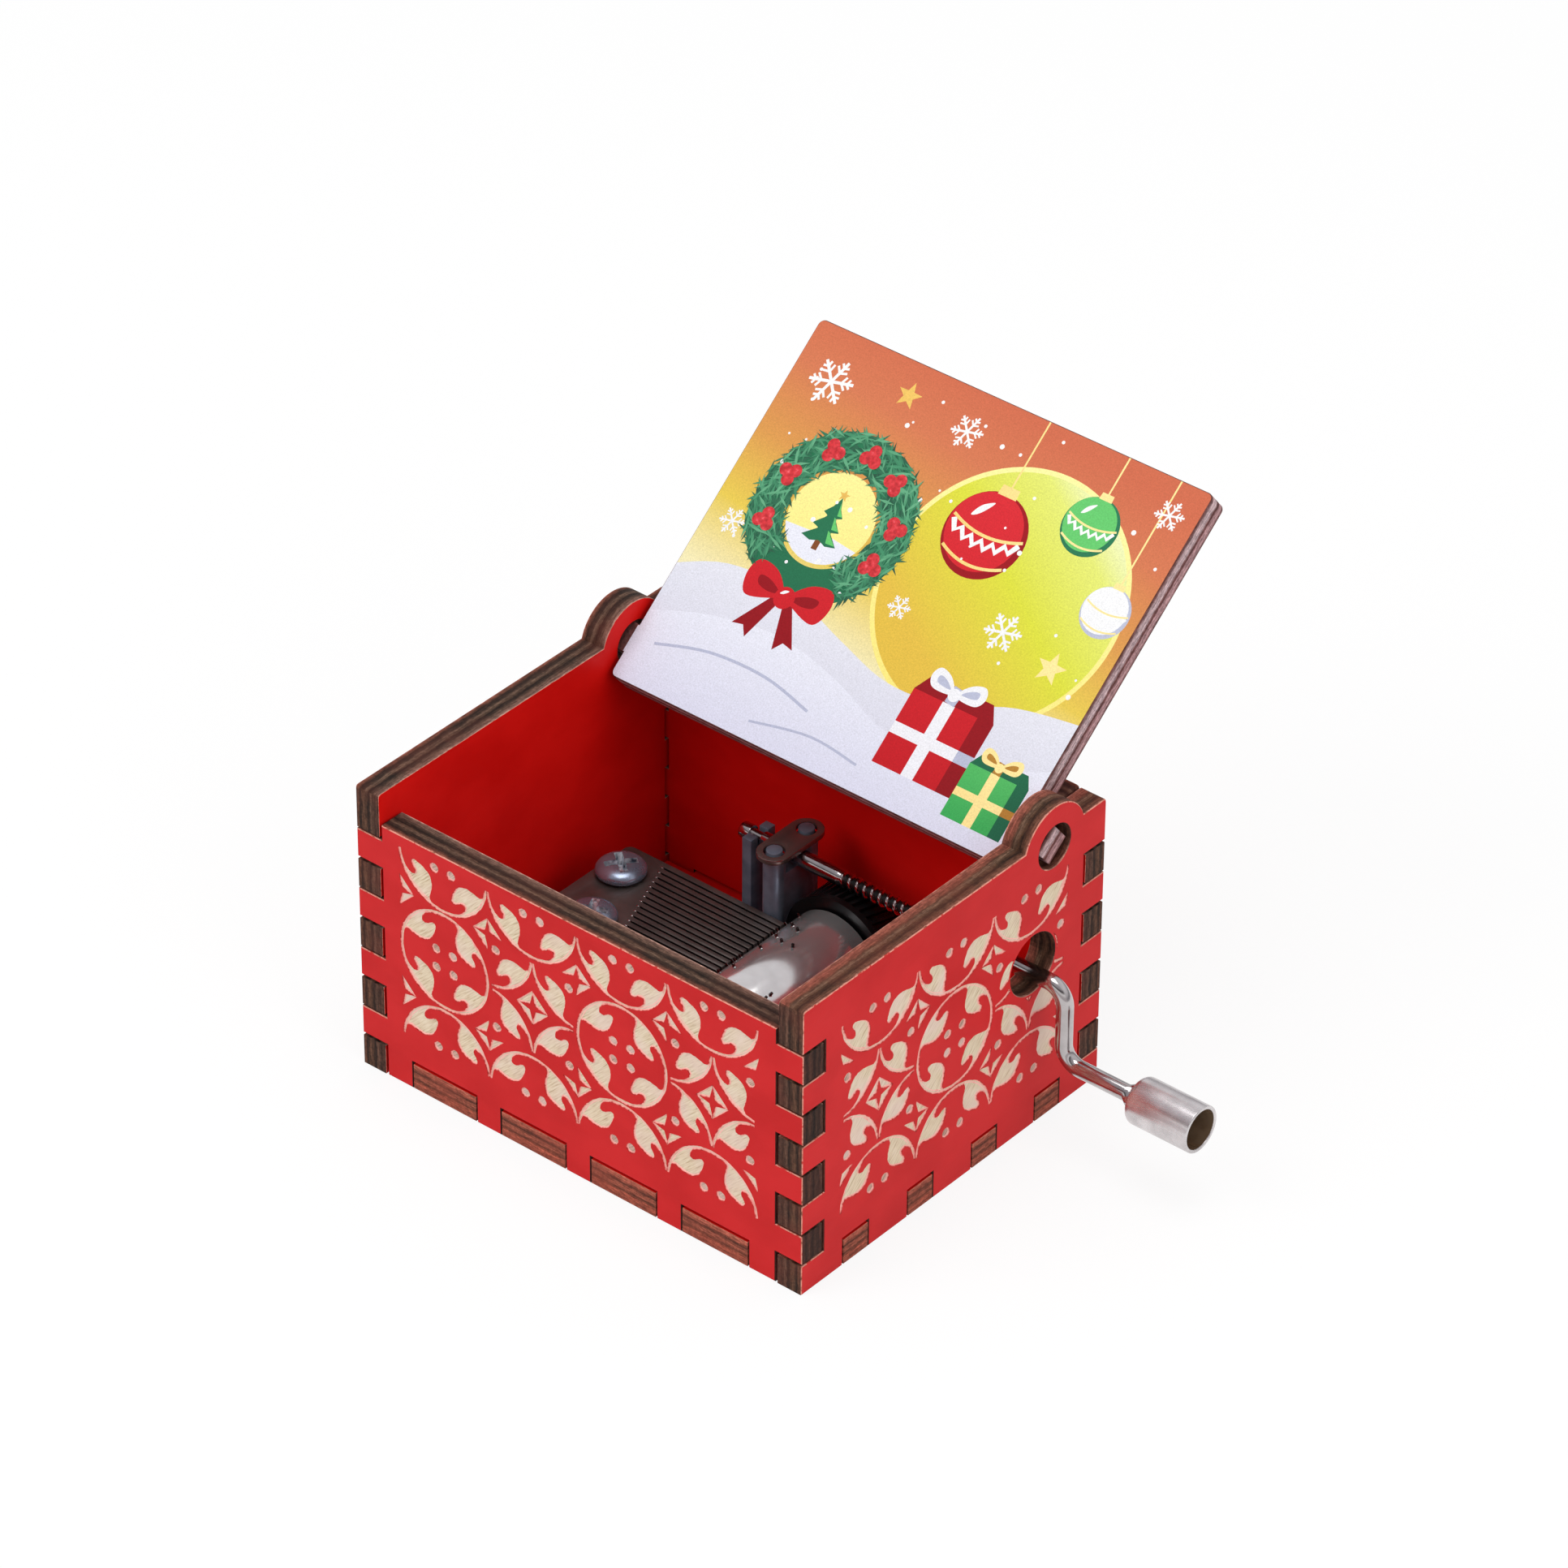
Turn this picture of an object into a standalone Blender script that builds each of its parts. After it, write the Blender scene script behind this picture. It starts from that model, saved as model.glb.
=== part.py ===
# Hand-cranked music box: a finger-jointed plywood case with a hinged lid,
# and inside it an eighteen-note movement whose cylinder is driven by a worm
# rolled into the bent crank wire.
# Units are metres. X runs along the long front face, Y to the back, Z up.
# The origin is the middle of the case's underside.

import math
import random

import bmesh
import bpy
from mathutils import Matrix, Vector

MM = 0.001

# Case sizes
CASE_LENGTH = 64.0 * MM
CASE_DEPTH = 51.4 * MM
CASE_HEIGHT = 38.1 * MM
WALL = 3.4 * MM
FIT = 0.3 * MM
FINGER_HEIGHT = 4.05 * MM
LONG_TAB_WIDTH = 9.3 * MM
LONG_TAB_PITCH = 13.16 * MM
SHORT_TAB_WIDTH = 4.1 * MM
SHORT_TAB_PITCH = 11.06 * MM

# Lid sizes
LID_SIDE_GAP = 0.6 * MM
LID_FRONT_GAP = 0.55 * MM
LID_TAIL = 4.8 * MM
LID_CORNER = 0.8 * MM
LID_OPEN_ANGLE = math.radians(141.0)
PIVOT_FROM_BACK = 9.0 * MM
PIVOT_BELOW_TOP = 1.6 * MM
EAR_RADIUS = 5.3 * MM
EAR_HOLE_RADIUS = 2.75 * MM
PIVOT_TAB_WIDTH = 3.6 * MM
PIVOT_TAB_INSET = 0.4 * MM

# Wire, worm and worm wheel; tooth and thread widths are shares of the pitch,
# measured from the middle of a tooth or a crest
WIRE_RADIUS = 1.0 * MM
THREAD_PITCH = 1.09 * MM
THREAD_DEPTH = 0.3 * MM
THREAD_TURNS = 11
THREAD_FOOT = 0.28
THREAD_FLANK = 0.16
WORM_LEAD_IN = 2.2 * MM
GEAR_TEETH = 42
GEAR_WIDTH = 5.2 * MM
WORM_FROM_GEAR_BACK = 2.0 * MM
GEAR_FLANGE_ABOVE_PITCH = 0.15 * MM
GEAR_FLANGE_WIDTH = 0.8 * MM
GEAR_TIP_ABOVE_PITCH = 0.05 * MM
GEAR_TOOTH_DEPTH = 0.45 * MM
GEAR_TOOTH_TIP = 0.15
GEAR_TOOTH_FOOT = 0.30
SPIGOT_LENGTH = 1.2 * MM

# Cylinder with its pins
CYLINDER_X = 6.15 * MM
CYLINDER_BACK = 10.7 * MM
CYLINDER_LENGTH = 18.0 * MM
CYLINDER_RADIUS = 6.0 * MM
CYLINDER_SHELL = 0.6 * MM
AXIS_ABOVE_BED = 8.75 * MM
ARBOR_RADIUS = 0.85 * MM
ARBOR_END = 0.4 * MM
CAP_FLANGE = 0.5 * MM
PIN_LENGTH = 0.45 * MM
PIN_WIDTH = 0.36 * MM
PIN_CLEARANCE = 0.15 * MM
PINS_PER_TRACK = 5

# Comb
COMB_TEETH = 18
TOOTH_PITCH = 0.912 * MM
TOOTH_SLOT = 0.27 * MM
COMB_THICKNESS = 1.0 * MM
COMB_ABOVE_AXIS = 1.15 * MM
COMB_FROM_CYLINDER_END = 0.95 * MM
BASS_TOOTH = 17.2 * MM
TREBLE_TOOTH = 11.4 * MM
COMB_BACK_LENGTH = 23.0 * MM
COMB_CORNER = 0.9 * MM
COMB_SCREW_RADIUS = 1.0 * MM
COMB_SCREW_HEAD_RADIUS = 3.0 * MM
COMB_SCREW_HEAD_HEIGHT = 1.4 * MM
COMB_SCREW_LENGTH = 4.5 * MM
COMB_SCREW_SPACING = 9.4 * MM
COMB_SCREW_FROM_ROOTS = 4.1 * MM
WEIGHTED_TEETH = 9
WEIGHT_FROM_TIP = 2.6 * MM
WEIGHT_LENGTH = 3.6 * MM
WEIGHT_HEIGHT = 1.3 * MM
DAMPER_LENGTH = 2.0 * MM
DAMPER_THICKNESS = 0.2 * MM
DAMPER_DROP = 0.5 * MM
SOLDER_GAP = 0.15 * MM

# Bedplate, its lugs, posts and screws
BED_THICKNESS = 1.5 * MM
BED_MARGIN = 0.4 * MM
LUG_THICKNESS = 2.0 * MM
LUG_HALF_WIDTH = 2.8 * MM
ARM_WIDTH = 2.6 * MM
RETAINER_X = -3.3 * MM
POST_RADIUS = 1.3 * MM
POST_SPACING = 5.6 * MM
POST_STUB_RADIUS = 0.95 * MM
SADDLE_WIDTH = 2.4 * MM
RETAINER_THICKNESS = 0.6 * MM
RETAINER_RADIUS = 2.05 * MM
RUNNING_GAP = 0.15 * MM
FORK_X = -7.95 * MM
FORK_THICKNESS = 1.3 * MM
FORK_WIDTH = 4.2 * MM
FORK_ABOVE_AXIS = 0.75 * MM
NECK_RADIUS = 0.7 * MM
NECK_GAP = 0.2 * MM
HEAD_LENGTH = 1.5 * MM
BED_SCREW_RADIUS = 1.0 * MM
BED_SCREW_HEAD_RADIUS = 2.0 * MM
BED_SCREW_DEPTH = 3.6 * MM
BED_BOSS_RADIUS = 2.1 * MM
BED_BOSS_HEIGHT = 5.0 * MM

# Crank arm and knob
HOLE_RADIUS = 3.85 * MM
HOLE_OFFSET_Y = -0.8 * MM
HOLE_OFFSET_Z = 1.9 * MM
ARM_FROM_CASE = 4.0 * MM
ARM_LENGTH = 9.8 * MM
BEND_RADIUS = 2.4 * MM
KNOB_FROM_ARM = 10.4 * MM
KNOB_LENGTH = 8.7 * MM
KNOB_RADIUS = 2.85 * MM
KNOB_SHELL = 0.45 * MM
KNOB_ROUNDING = 0.8 * MM
COLLAR_RADIUS = 1.4 * MM
COLLAR_LENGTH = 0.7 * MM
UPSET_RADIUS = 1.6 * MM
UPSET_LENGTH = 0.6 * MM

# Facets of round shapes, and the seed of the pins' places
WIRE_SIDES = 16
RINGS_PER_TURN = 6
ROUND_SIDES = 48
SMALL_SIDES = 20
ARC_STEPS = 6
PIN_SEED = 18

# Places worked out from the sizes above
HALF_LENGTH = CASE_LENGTH / 2
HALF_DEPTH = CASE_DEPTH / 2
INNER_HALF_LENGTH = HALF_LENGTH - WALL
INNER_HALF_DEPTH = HALF_DEPTH - WALL
PIVOT_Y = HALF_DEPTH - PIVOT_FROM_BACK
PIVOT_Z = CASE_HEIGHT - PIVOT_BELOW_TOP
FRONT_TOP = PIVOT_Z - WALL / 2 - LID_FRONT_GAP
BED_BOTTOM = WALL + FIT
AXIS_Z = BED_BOTTOM + AXIS_ABOVE_BED
THREAD_ROOT = WIRE_RADIUS - THREAD_DEPTH
GEAR_PITCH_RADIUS = GEAR_TEETH * THREAD_PITCH / (2 * math.pi)
WORM_PITCH_RADIUS = WIRE_RADIUS - THREAD_DEPTH * 2 / 3
SHAFT_Z = AXIS_Z + GEAR_PITCH_RADIUS + WORM_PITCH_RADIUS
GEAR_FRONT = CYLINDER_BACK + FIT
GEAR_BACK = GEAR_FRONT + GEAR_WIDTH
SHAFT_Y = GEAR_BACK - WORM_FROM_GEAR_BACK
CYLINDER_FRONT = CYLINDER_BACK - CYLINDER_LENGTH
CAP_FRONT = CYLINDER_FRONT - FIT - CAP_FLANGE
FRONT_LUG_BACK = CAP_FRONT - FIT
REAR_LUG_FRONT = GEAR_BACK + FIT
BORE_RADIUS = ARBOR_RADIUS + FIT
FILL_RADIUS = CYLINDER_RADIUS - CYLINDER_SHELL - FIT
TIP_RADIUS = CYLINDER_RADIUS + PIN_LENGTH + PIN_CLEARANCE
COMB_BOTTOM = AXIS_Z + COMB_ABOVE_AXIS
COMB_TOP = COMB_BOTTOM + COMB_THICKNESS
COMB_BACK = CYLINDER_BACK - COMB_FROM_CYLINDER_END
COMB_FRONT = COMB_BACK - COMB_TEETH * TOOTH_PITCH
TIP_X = CYLINDER_X - math.sqrt(TIP_RADIUS ** 2 - COMB_ABOVE_AXIS ** 2)
COMB_LEFT = TIP_X - COMB_BACK_LENGTH
SHAFT_TOP = SHAFT_Z + WIRE_RADIUS
RETAINER_BOTTOM = SHAFT_TOP + RUNNING_GAP
RETAINER_TOP = RETAINER_BOTTOM + RETAINER_THICKNESS
ARM_X = HALF_LENGTH + ARM_FROM_CASE
KNOB_START = ARM_X + KNOB_FROM_ARM
WORM_START = CYLINDER_X - WORM_LEAD_IN
WORM_END = WORM_START + THREAD_TURNS * THREAD_PITCH

for leftover in list(bpy.data.objects):
    bpy.data.objects.remove(leftover, do_unlink=True)


def material(name, colour, roughness, metallic=0.0):
    made = bpy.data.materials.new(name)
    made.use_nodes = True
    shader = made.node_tree.nodes["Principled BSDF"]
    shader.inputs["Base Color"].default_value = (*colour, 1.0)
    shader.inputs["Roughness"].default_value = roughness
    shader.inputs["Metallic"].default_value = metallic
    return made


RED_PAINT = material("painted_plywood", (0.55, 0.02, 0.02), 0.45)
BARE_PLY = material("bare_plywood", (0.30, 0.17, 0.10), 0.7)
PRINTED_PLY = material("printed_plywood", (0.68, 0.68, 0.80), 0.4)
ZINC = material("cast_zinc", (0.10, 0.11, 0.13), 0.45, 0.8)
COMB_STEEL = material("comb_steel", (0.08, 0.07, 0.07), 0.4, 0.9)
NICKEL = material("nickel_plate", (0.78, 0.77, 0.76), 0.12, 1.0)
SCREW_STEEL = material("zinc_plated_steel", (0.60, 0.62, 0.66), 0.3, 1.0)
RETAINER_STEEL = material("spring_steel", (0.16, 0.13, 0.12), 0.35, 0.9)
BLACK_PLASTIC = material("black_nylon", (0.015, 0.015, 0.018), 0.4)
LEAD = material("lead_solder", (0.30, 0.31, 0.33), 0.6, 0.8)
RESIN = material("brown_resin", (0.18, 0.10, 0.06), 0.6)
FELT_FILM = material("clear_film", (0.75, 0.75, 0.72), 0.5)


def empty(name, location, parent=None):
    # an axis that moving pieces hang on
    axis = bpy.data.objects.new(name, None)
    bpy.context.scene.collection.objects.link(axis)
    axis.parent = parent
    axis.location = location
    return axis


def add_object(name, built, finish=None, location=(0, 0, 0), parent=None):
    # turns a bmesh into a named object with its faces pointing out
    bmesh.ops.recalc_face_normals(built, faces=built.faces)
    mesh = bpy.data.meshes.new(name)
    built.to_mesh(mesh)
    built.free()
    made = bpy.data.objects.new(name, mesh)
    bpy.context.scene.collection.objects.link(made)
    made.location = location
    made.parent = parent
    if finish:
        mesh.materials.append(finish)
    return made


def shade_round(made, angle=35):
    made.data.shade_smooth()
    made.data.set_sharp_from_angle(angle=math.radians(angle))


def combine(target, built, operation, name, location=(0, 0, 0)):
    # joins or cuts a shape into target; the shape itself stays hidden
    tool = add_object(name, built, None, location, target.parent)
    tool.hide_render = True
    tool.display_type = "WIRE"
    step = target.modifiers.new(name, "BOOLEAN")
    step.operation = operation
    step.solver = "EXACT"
    step.object = tool


def prism(outline, low, high, place=lambda u, v, w: (u, v, w)):
    # a flat outline in (u, v) drawn out along w from low to high
    built = bmesh.new()
    bottom = [built.verts.new(place(u, v, low)) for u, v in outline]
    top = [built.verts.new(place(u, v, high)) for u, v in outline]
    built.faces.new(bottom)
    built.faces.new(reversed(top))
    count = len(outline)
    for index in range(count):
        after = (index + 1) % count
        built.faces.new((bottom[index], top[index], top[after], bottom[after]))
    return built


def upright_front(u, v, w):
    # outline in X and Z, thickness along Y
    return (u, w, v)


def upright_side(u, v, w):
    # outline in Y and Z, thickness along X
    return (w, u, v)


def circle(centre_u, centre_v, radius, sides):
    turn = 2 * math.pi / sides
    return [
        (centre_u + radius * math.cos(k * turn), centre_v + radius * math.sin(k * turn))
        for k in range(sides)
    ]


def arc(centre_u, centre_v, radius, start, end, steps):
    return [
        (
            centre_u + radius * math.cos(math.radians(start + (end - start) * k / steps)),
            centre_v + radius * math.sin(math.radians(start + (end - start) * k / steps)),
        )
        for k in range(steps + 1)
    ]


def rectangle(low_u, high_u, low_v, high_v):
    return [(low_u, low_v), (high_u, low_v), (high_u, high_v), (low_u, high_v)]


def turned(profile, sides, axis="X"):
    # a closed profile of (along, radius) points turned about an axis;
    # points of radius 0 become poles
    built = bmesh.new()
    rings = []
    for along, radius in profile:
        ring = []
        for k in range(sides if radius > 0 else 1):
            angle = 2 * math.pi * k / sides
            across = (radius * math.cos(angle), radius * math.sin(angle))
            if axis == "X":
                point = (along, *across)
            elif axis == "Y":
                point = (across[0], along, across[1])
            else:
                point = (*across, along)
            ring.append(built.verts.new(point))
        rings.append(ring)
    for here, there in zip(rings, rings[1:] + rings[:1]):
        if len(here) == 1 and len(there) == 1:
            continue
        for k in range(sides):
            after = (k + 1) % sides
            corners = []
            corners.append(here[k % len(here)])
            corners.append(there[k % len(there)])
            if len(there) > 1:
                corners.append(there[after])
            if len(here) > 1:
                corners.append(here[after])
            built.faces.new(corners)
    return built


def tab_centres(span, width, pitch):
    count = int((span - width) / pitch) + 1
    return [pitch * (k - (count - 1) / 2) for k in range(count)]


LONG_TABS = tab_centres(2 * INNER_HALF_LENGTH, LONG_TAB_WIDTH, LONG_TAB_PITCH)
SHORT_TABS = tab_centres(2 * INNER_HALF_DEPTH, SHORT_TAB_WIDTH, SHORT_TAB_PITCH)
FINGER_PAIRS = int(FRONT_TOP / (2 * FINGER_HEIGHT))


# Plywood panels

def slotted_bottom(half, tabs, width):
    # bottom edge from left to right, with a slot over each floor tab
    points = [(-half, 0)]
    for centre in tabs:
        left = centre - width / 2 - FIT / 2
        right = centre + width / 2 + FIT / 2
        points += [(left, 0), (left, WALL + FIT), (right, WALL + FIT), (right, 0)]
    points.append((half, 0))
    return points


def cross_panel_outline(top):
    # front or back panel: its fingers pass between those of the side panels
    recess = INNER_HALF_LENGTH - FIT
    side = []
    for pair in range(FINGER_PAIRS):
        low = (2 * pair + 1) * FINGER_HEIGHT + FIT / 2
        high = (2 * pair + 2) * FINGER_HEIGHT - FIT / 2
        side += [(recess, low), (HALF_LENGTH, low), (HALF_LENGTH, high), (recess, high)]
    side.append((recess, top))
    outline = slotted_bottom(recess, LONG_TABS, LONG_TAB_WIDTH)
    return outline + side + [(-u, v) for u, v in reversed(side)]


def side_panel_outline():
    # side panel with its fingers and, near the back, the round ear of the lid's pivot
    recess = INNER_HALF_DEPTH - FIT
    outline = slotted_bottom(HALF_DEPTH, SHORT_TABS, SHORT_TAB_WIDTH)
    side = []
    for pair in range(FINGER_PAIRS):
        low = (2 * pair + 1) * FINGER_HEIGHT - FIT / 2
        high = (2 * pair + 2) * FINGER_HEIGHT + FIT / 2
        side += [(HALF_DEPTH, low), (recess, low), (recess, high), (HALF_DEPTH, high)]
    side.append((HALF_DEPTH, CASE_HEIGHT))
    lift = math.degrees(math.asin(PIVOT_BELOW_TOP / EAR_RADIUS))
    ear = arc(PIVOT_Y, PIVOT_Z, EAR_RADIUS, lift, 180 - lift, 4 * ARC_STEPS)
    return outline + side + ear + [(-u, v) for u, v in reversed(side)]


def cross_panel(name, top, location_y):
    built = prism(cross_panel_outline(top), 0, WALL, upright_front)
    return add_object(name, built, RED_PAINT, (0, location_y, 0))


def side_panel(name, location_x):
    built = prism(side_panel_outline(), 0, WALL, upright_side)
    panel = add_object(name, built, RED_PAINT, (location_x, 0, 0))
    ear_hole = circle(PIVOT_Y, PIVOT_Z, EAR_HOLE_RADIUS, SMALL_SIDES * 2)
    hole = prism(ear_hole, -WALL, 2 * WALL, upright_side)
    combine(panel, hole, "DIFFERENCE", name + "_ear_hole", (location_x, 0, 0))
    return panel


cross_panel("front_panel", FRONT_TOP, -HALF_DEPTH)
cross_panel("back_panel", CASE_HEIGHT, INNER_HALF_DEPTH)
side_panel("left_panel", -HALF_LENGTH)
right_panel = side_panel("right_panel", INNER_HALF_LENGTH)
crank_hole = circle(SHAFT_Y + HOLE_OFFSET_Y, SHAFT_Z + HOLE_OFFSET_Z, HOLE_RADIUS, ROUND_SIDES)
combine(
    right_panel,
    prism(crank_hole, -WALL, 2 * WALL, upright_side),
    "DIFFERENCE",
    "crank_hole",
    (INNER_HALF_LENGTH, 0, 0),
)


def floor_outline():
    # floor panel with tabs on its four sides, drawn counter-clockwise
    half_x = INNER_HALF_LENGTH - FIT
    half_y = INNER_HALF_DEPTH - FIT
    points = [(-half_x, -half_y)]
    for centre in LONG_TABS:
        left = centre - LONG_TAB_WIDTH / 2
        right = centre + LONG_TAB_WIDTH / 2
        points += [(left, -half_y), (left, -HALF_DEPTH), (right, -HALF_DEPTH), (right, -half_y)]
    points.append((half_x, -half_y))
    for centre in SHORT_TABS:
        low = centre - SHORT_TAB_WIDTH / 2
        high = centre + SHORT_TAB_WIDTH / 2
        points += [(half_x, low), (HALF_LENGTH, low), (HALF_LENGTH, high), (half_x, high)]
    return points + [(-x, -y) for x, y in points]


floor_panel = add_object("bottom_panel", prism(floor_outline(), 0, WALL), BARE_PLY)


# Lid, drawn closed about its pivot and then swung open

def lid_outline():
    half = INNER_HALF_LENGTH - LID_SIDE_GAP
    tab = HALF_LENGTH - PIVOT_TAB_INSET
    front = -(PIVOT_Y + HALF_DEPTH)
    right = arc(half - LID_CORNER, front + LID_CORNER, LID_CORNER, -90, 0, ARC_STEPS)
    right += [
        (half, -PIVOT_TAB_WIDTH / 2),
        (tab, -PIVOT_TAB_WIDTH / 2),
        (tab, PIVOT_TAB_WIDTH / 2),
        (half, PIVOT_TAB_WIDTH / 2),
    ]
    right += arc(half - LID_CORNER, LID_TAIL - LID_CORNER, LID_CORNER, 0, 90, ARC_STEPS)
    return right + [(-u, v) for u, v in reversed(right)]


lid_pivot = empty("lid_pivot", (0, PIVOT_Y, PIVOT_Z))
lid_pivot.rotation_euler.x = -LID_OPEN_ANGLE
add_object("lid", prism(lid_outline(), -WALL / 2, WALL / 2), PRINTED_PLY, parent=lid_pivot)


# Comb: a steel plate with eighteen teeth, longest at the back

def root_x(index):
    share = index / (COMB_TEETH - 1)
    return TIP_X - BASS_TOOTH + (BASS_TOOTH - TREBLE_TOOTH) * share


def tooth_y(index):
    return COMB_BACK - TOOTH_PITCH * (index + 0.5)


def comb_outline():
    # from the back left corner along the base's left edge, then tooth by tooth
    points = arc(
        COMB_LEFT + COMB_CORNER, COMB_BACK - COMB_CORNER, COMB_CORNER, 90, 180, ARC_STEPS
    )
    points += arc(
        COMB_LEFT + COMB_CORNER, COMB_FRONT + COMB_CORNER, COMB_CORNER, 180, 270, ARC_STEPS
    )
    for index in reversed(range(COMB_TEETH)):
        low = tooth_y(index) - TOOTH_PITCH / 2
        high = tooth_y(index) + TOOTH_PITCH / 2
        if index < COMB_TEETH - 1:
            low += TOOTH_SLOT / 2
            points.append((root_x(index), low))
        if index > 0:
            high -= TOOTH_SLOT / 2
        points += [(TIP_X, low), (TIP_X, high)]
        if index > 0:
            points.append((root_x(index), high))
    return points


# The screws stand on a line that slants with the roots of the teeth
SLANT = (BASS_TOOTH - TREBLE_TOOTH) / (TOOTH_PITCH * (COMB_TEETH - 1))
COMB_SCREW_MIDDLE_Y = (COMB_BACK + COMB_FRONT) / 2 - COMB_SCREW_RADIUS
COMB_SCREW_MIDDLE_X = root_x((COMB_TEETH - 1) / 2) - COMB_SCREW_FROM_ROOTS
COMB_SCREW_REACH = COMB_SCREW_SPACING / (2 * math.sqrt(1 + SLANT ** 2))
COMB_SCREW_PLACES = [
    (COMB_SCREW_MIDDLE_X - side * COMB_SCREW_REACH * SLANT,
     COMB_SCREW_MIDDLE_Y + side * COMB_SCREW_REACH)
    for side in (-1, 1)
]

comb = add_object("comb", prism(comb_outline(), COMB_BOTTOM, COMB_TOP), COMB_STEEL)
for number, (x, y) in enumerate(COMB_SCREW_PLACES):
    hole = circle(x, y, COMB_SCREW_RADIUS + FIT, SMALL_SIDES)
    cut = prism(hole, COMB_BOTTOM - FIT, COMB_TOP + FIT)
    combine(comb, cut, "DIFFERENCE", "comb_hole_%d" % number)


def merge(parts):
    # several separate solids in one bmesh
    joined = bmesh.new()
    for part in parts:
        mesh = bpy.data.meshes.new("part")
        bmesh.ops.recalc_face_normals(part, faces=part.faces)
        part.to_mesh(mesh)
        part.free()
        joined.from_mesh(mesh)
        bpy.data.meshes.remove(mesh)
    return joined


def moved(built, x, y, z):
    bmesh.ops.translate(built, verts=built.verts, vec=(x, y, z))
    return built


def comb_screw():
    # large low pan head over a plain shank, origin under the head
    head = COMB_SCREW_HEAD_RADIUS
    height = COMB_SCREW_HEAD_HEIGHT
    profile = [
        (-COMB_SCREW_LENGTH, 0),
        (-COMB_SCREW_LENGTH, COMB_SCREW_RADIUS),
        (0, COMB_SCREW_RADIUS),
        (0, head),
        (height * 0.35, head),
        (height * 0.75, head * 0.9),
        (height * 0.95, head * 0.7),
        (height, head * 0.45),
        (height, 0),
    ]
    return turned(profile, ROUND_SIDES // 2, "Z")


def cross_recess(size, depth, x, y, top):
    # two crossed bars that cut the driver's slots
    long, narrow = size / 2, size / 9
    bars = []
    for half_x, half_y in ((long, narrow), (narrow, long)):
        bars.append(prism(rectangle(x - half_x, x + half_x, y - half_y, y + half_y),
                          top - depth, top + depth))
    return bars


for number, (x, y) in enumerate(COMB_SCREW_PLACES):
    low = COMB_TOP + FIT
    top = low + COMB_SCREW_HEAD_HEIGHT
    name = "comb_screw_%d" % (number + 1)
    screw = add_object(name, moved(comb_screw(), x, y, low), SCREW_STEEL)
    bars = cross_recess(COMB_SCREW_HEAD_RADIUS, COMB_SCREW_HEAD_HEIGHT / 2, x, y, top)
    for turn, bar in enumerate(bars):
        combine(screw, bar, "DIFFERENCE", "%s_recess_%d" % (name, turn))


def tooth_block(index, start, end, low, high):
    # a small block under one tooth, start and end measured back from the tip
    half = (TOOTH_PITCH - TOOTH_SLOT) / 2 - SOLDER_GAP / 2
    centre = tooth_y(index)
    return prism(rectangle(TIP_X - end, TIP_X - start, centre - half, centre + half), low, high)


for index in range(WEIGHTED_TEETH):
    length = WEIGHT_LENGTH * (1 - index / (2 * WEIGHTED_TEETH))
    top = COMB_BOTTOM - SOLDER_GAP
    weight = tooth_block(
        index, WEIGHT_FROM_TIP, WEIGHT_FROM_TIP + length, top - WEIGHT_HEIGHT, top
    )
    add_object("comb_weight_%d" % (index + 1), weight, LEAD)
    film = tooth_block(index, FIT, FIT + DAMPER_LENGTH, top - DAMPER_THICKNESS, top)
    for vertex in film.verts:
        # the film hangs down towards its free end beside the cylinder
        share = (vertex.co.x - (TIP_X - FIT - DAMPER_LENGTH)) / DAMPER_LENGTH
        vertex.co.z -= DAMPER_DROP * share
    add_object("tooth_damper_%d" % (index + 1), film, FELT_FILM)


# Pinned cylinder with its filling, end cap, arbor and worm wheel

cylinder_axis = empty("cylinder_axis", (CYLINDER_X, 0, AXIS_Z))

shell_profile = [
    (CYLINDER_FRONT, CYLINDER_RADIUS - CYLINDER_SHELL),
    (CYLINDER_FRONT, CYLINDER_RADIUS),
    (CYLINDER_BACK, CYLINDER_RADIUS),
    (CYLINDER_BACK, CYLINDER_RADIUS - CYLINDER_SHELL),
]
cylinder = add_object(
    "pinned_cylinder", turned(shell_profile, ROUND_SIDES, "Y"), NICKEL, parent=cylinder_axis
)


def pin(y, angle):
    # a square pin standing on the shell, its foot sunk in the wall
    half = PIN_WIDTH / 2
    low = CYLINDER_RADIUS - CYLINDER_SHELL / 2
    built = prism(rectangle(-half, half, y - half, y + half), low, CYLINDER_RADIUS + PIN_LENGTH)
    bmesh.ops.rotate(built, verts=built.verts, cent=(0, 0, 0), matrix=Matrix.Rotation(angle, 3, "Y"))
    return built


tune = random.Random(PIN_SEED)
pins = []
for index in range(COMB_TEETH):
    for step in sorted(tune.sample(range(0, ROUND_SIDES, 2), PINS_PER_TRACK)):
        pins.append(pin(tooth_y(index), 2 * math.pi * (step + 0.5) / ROUND_SIDES))
combine(cylinder, merge(pins), "UNION", "pin_field")

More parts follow.
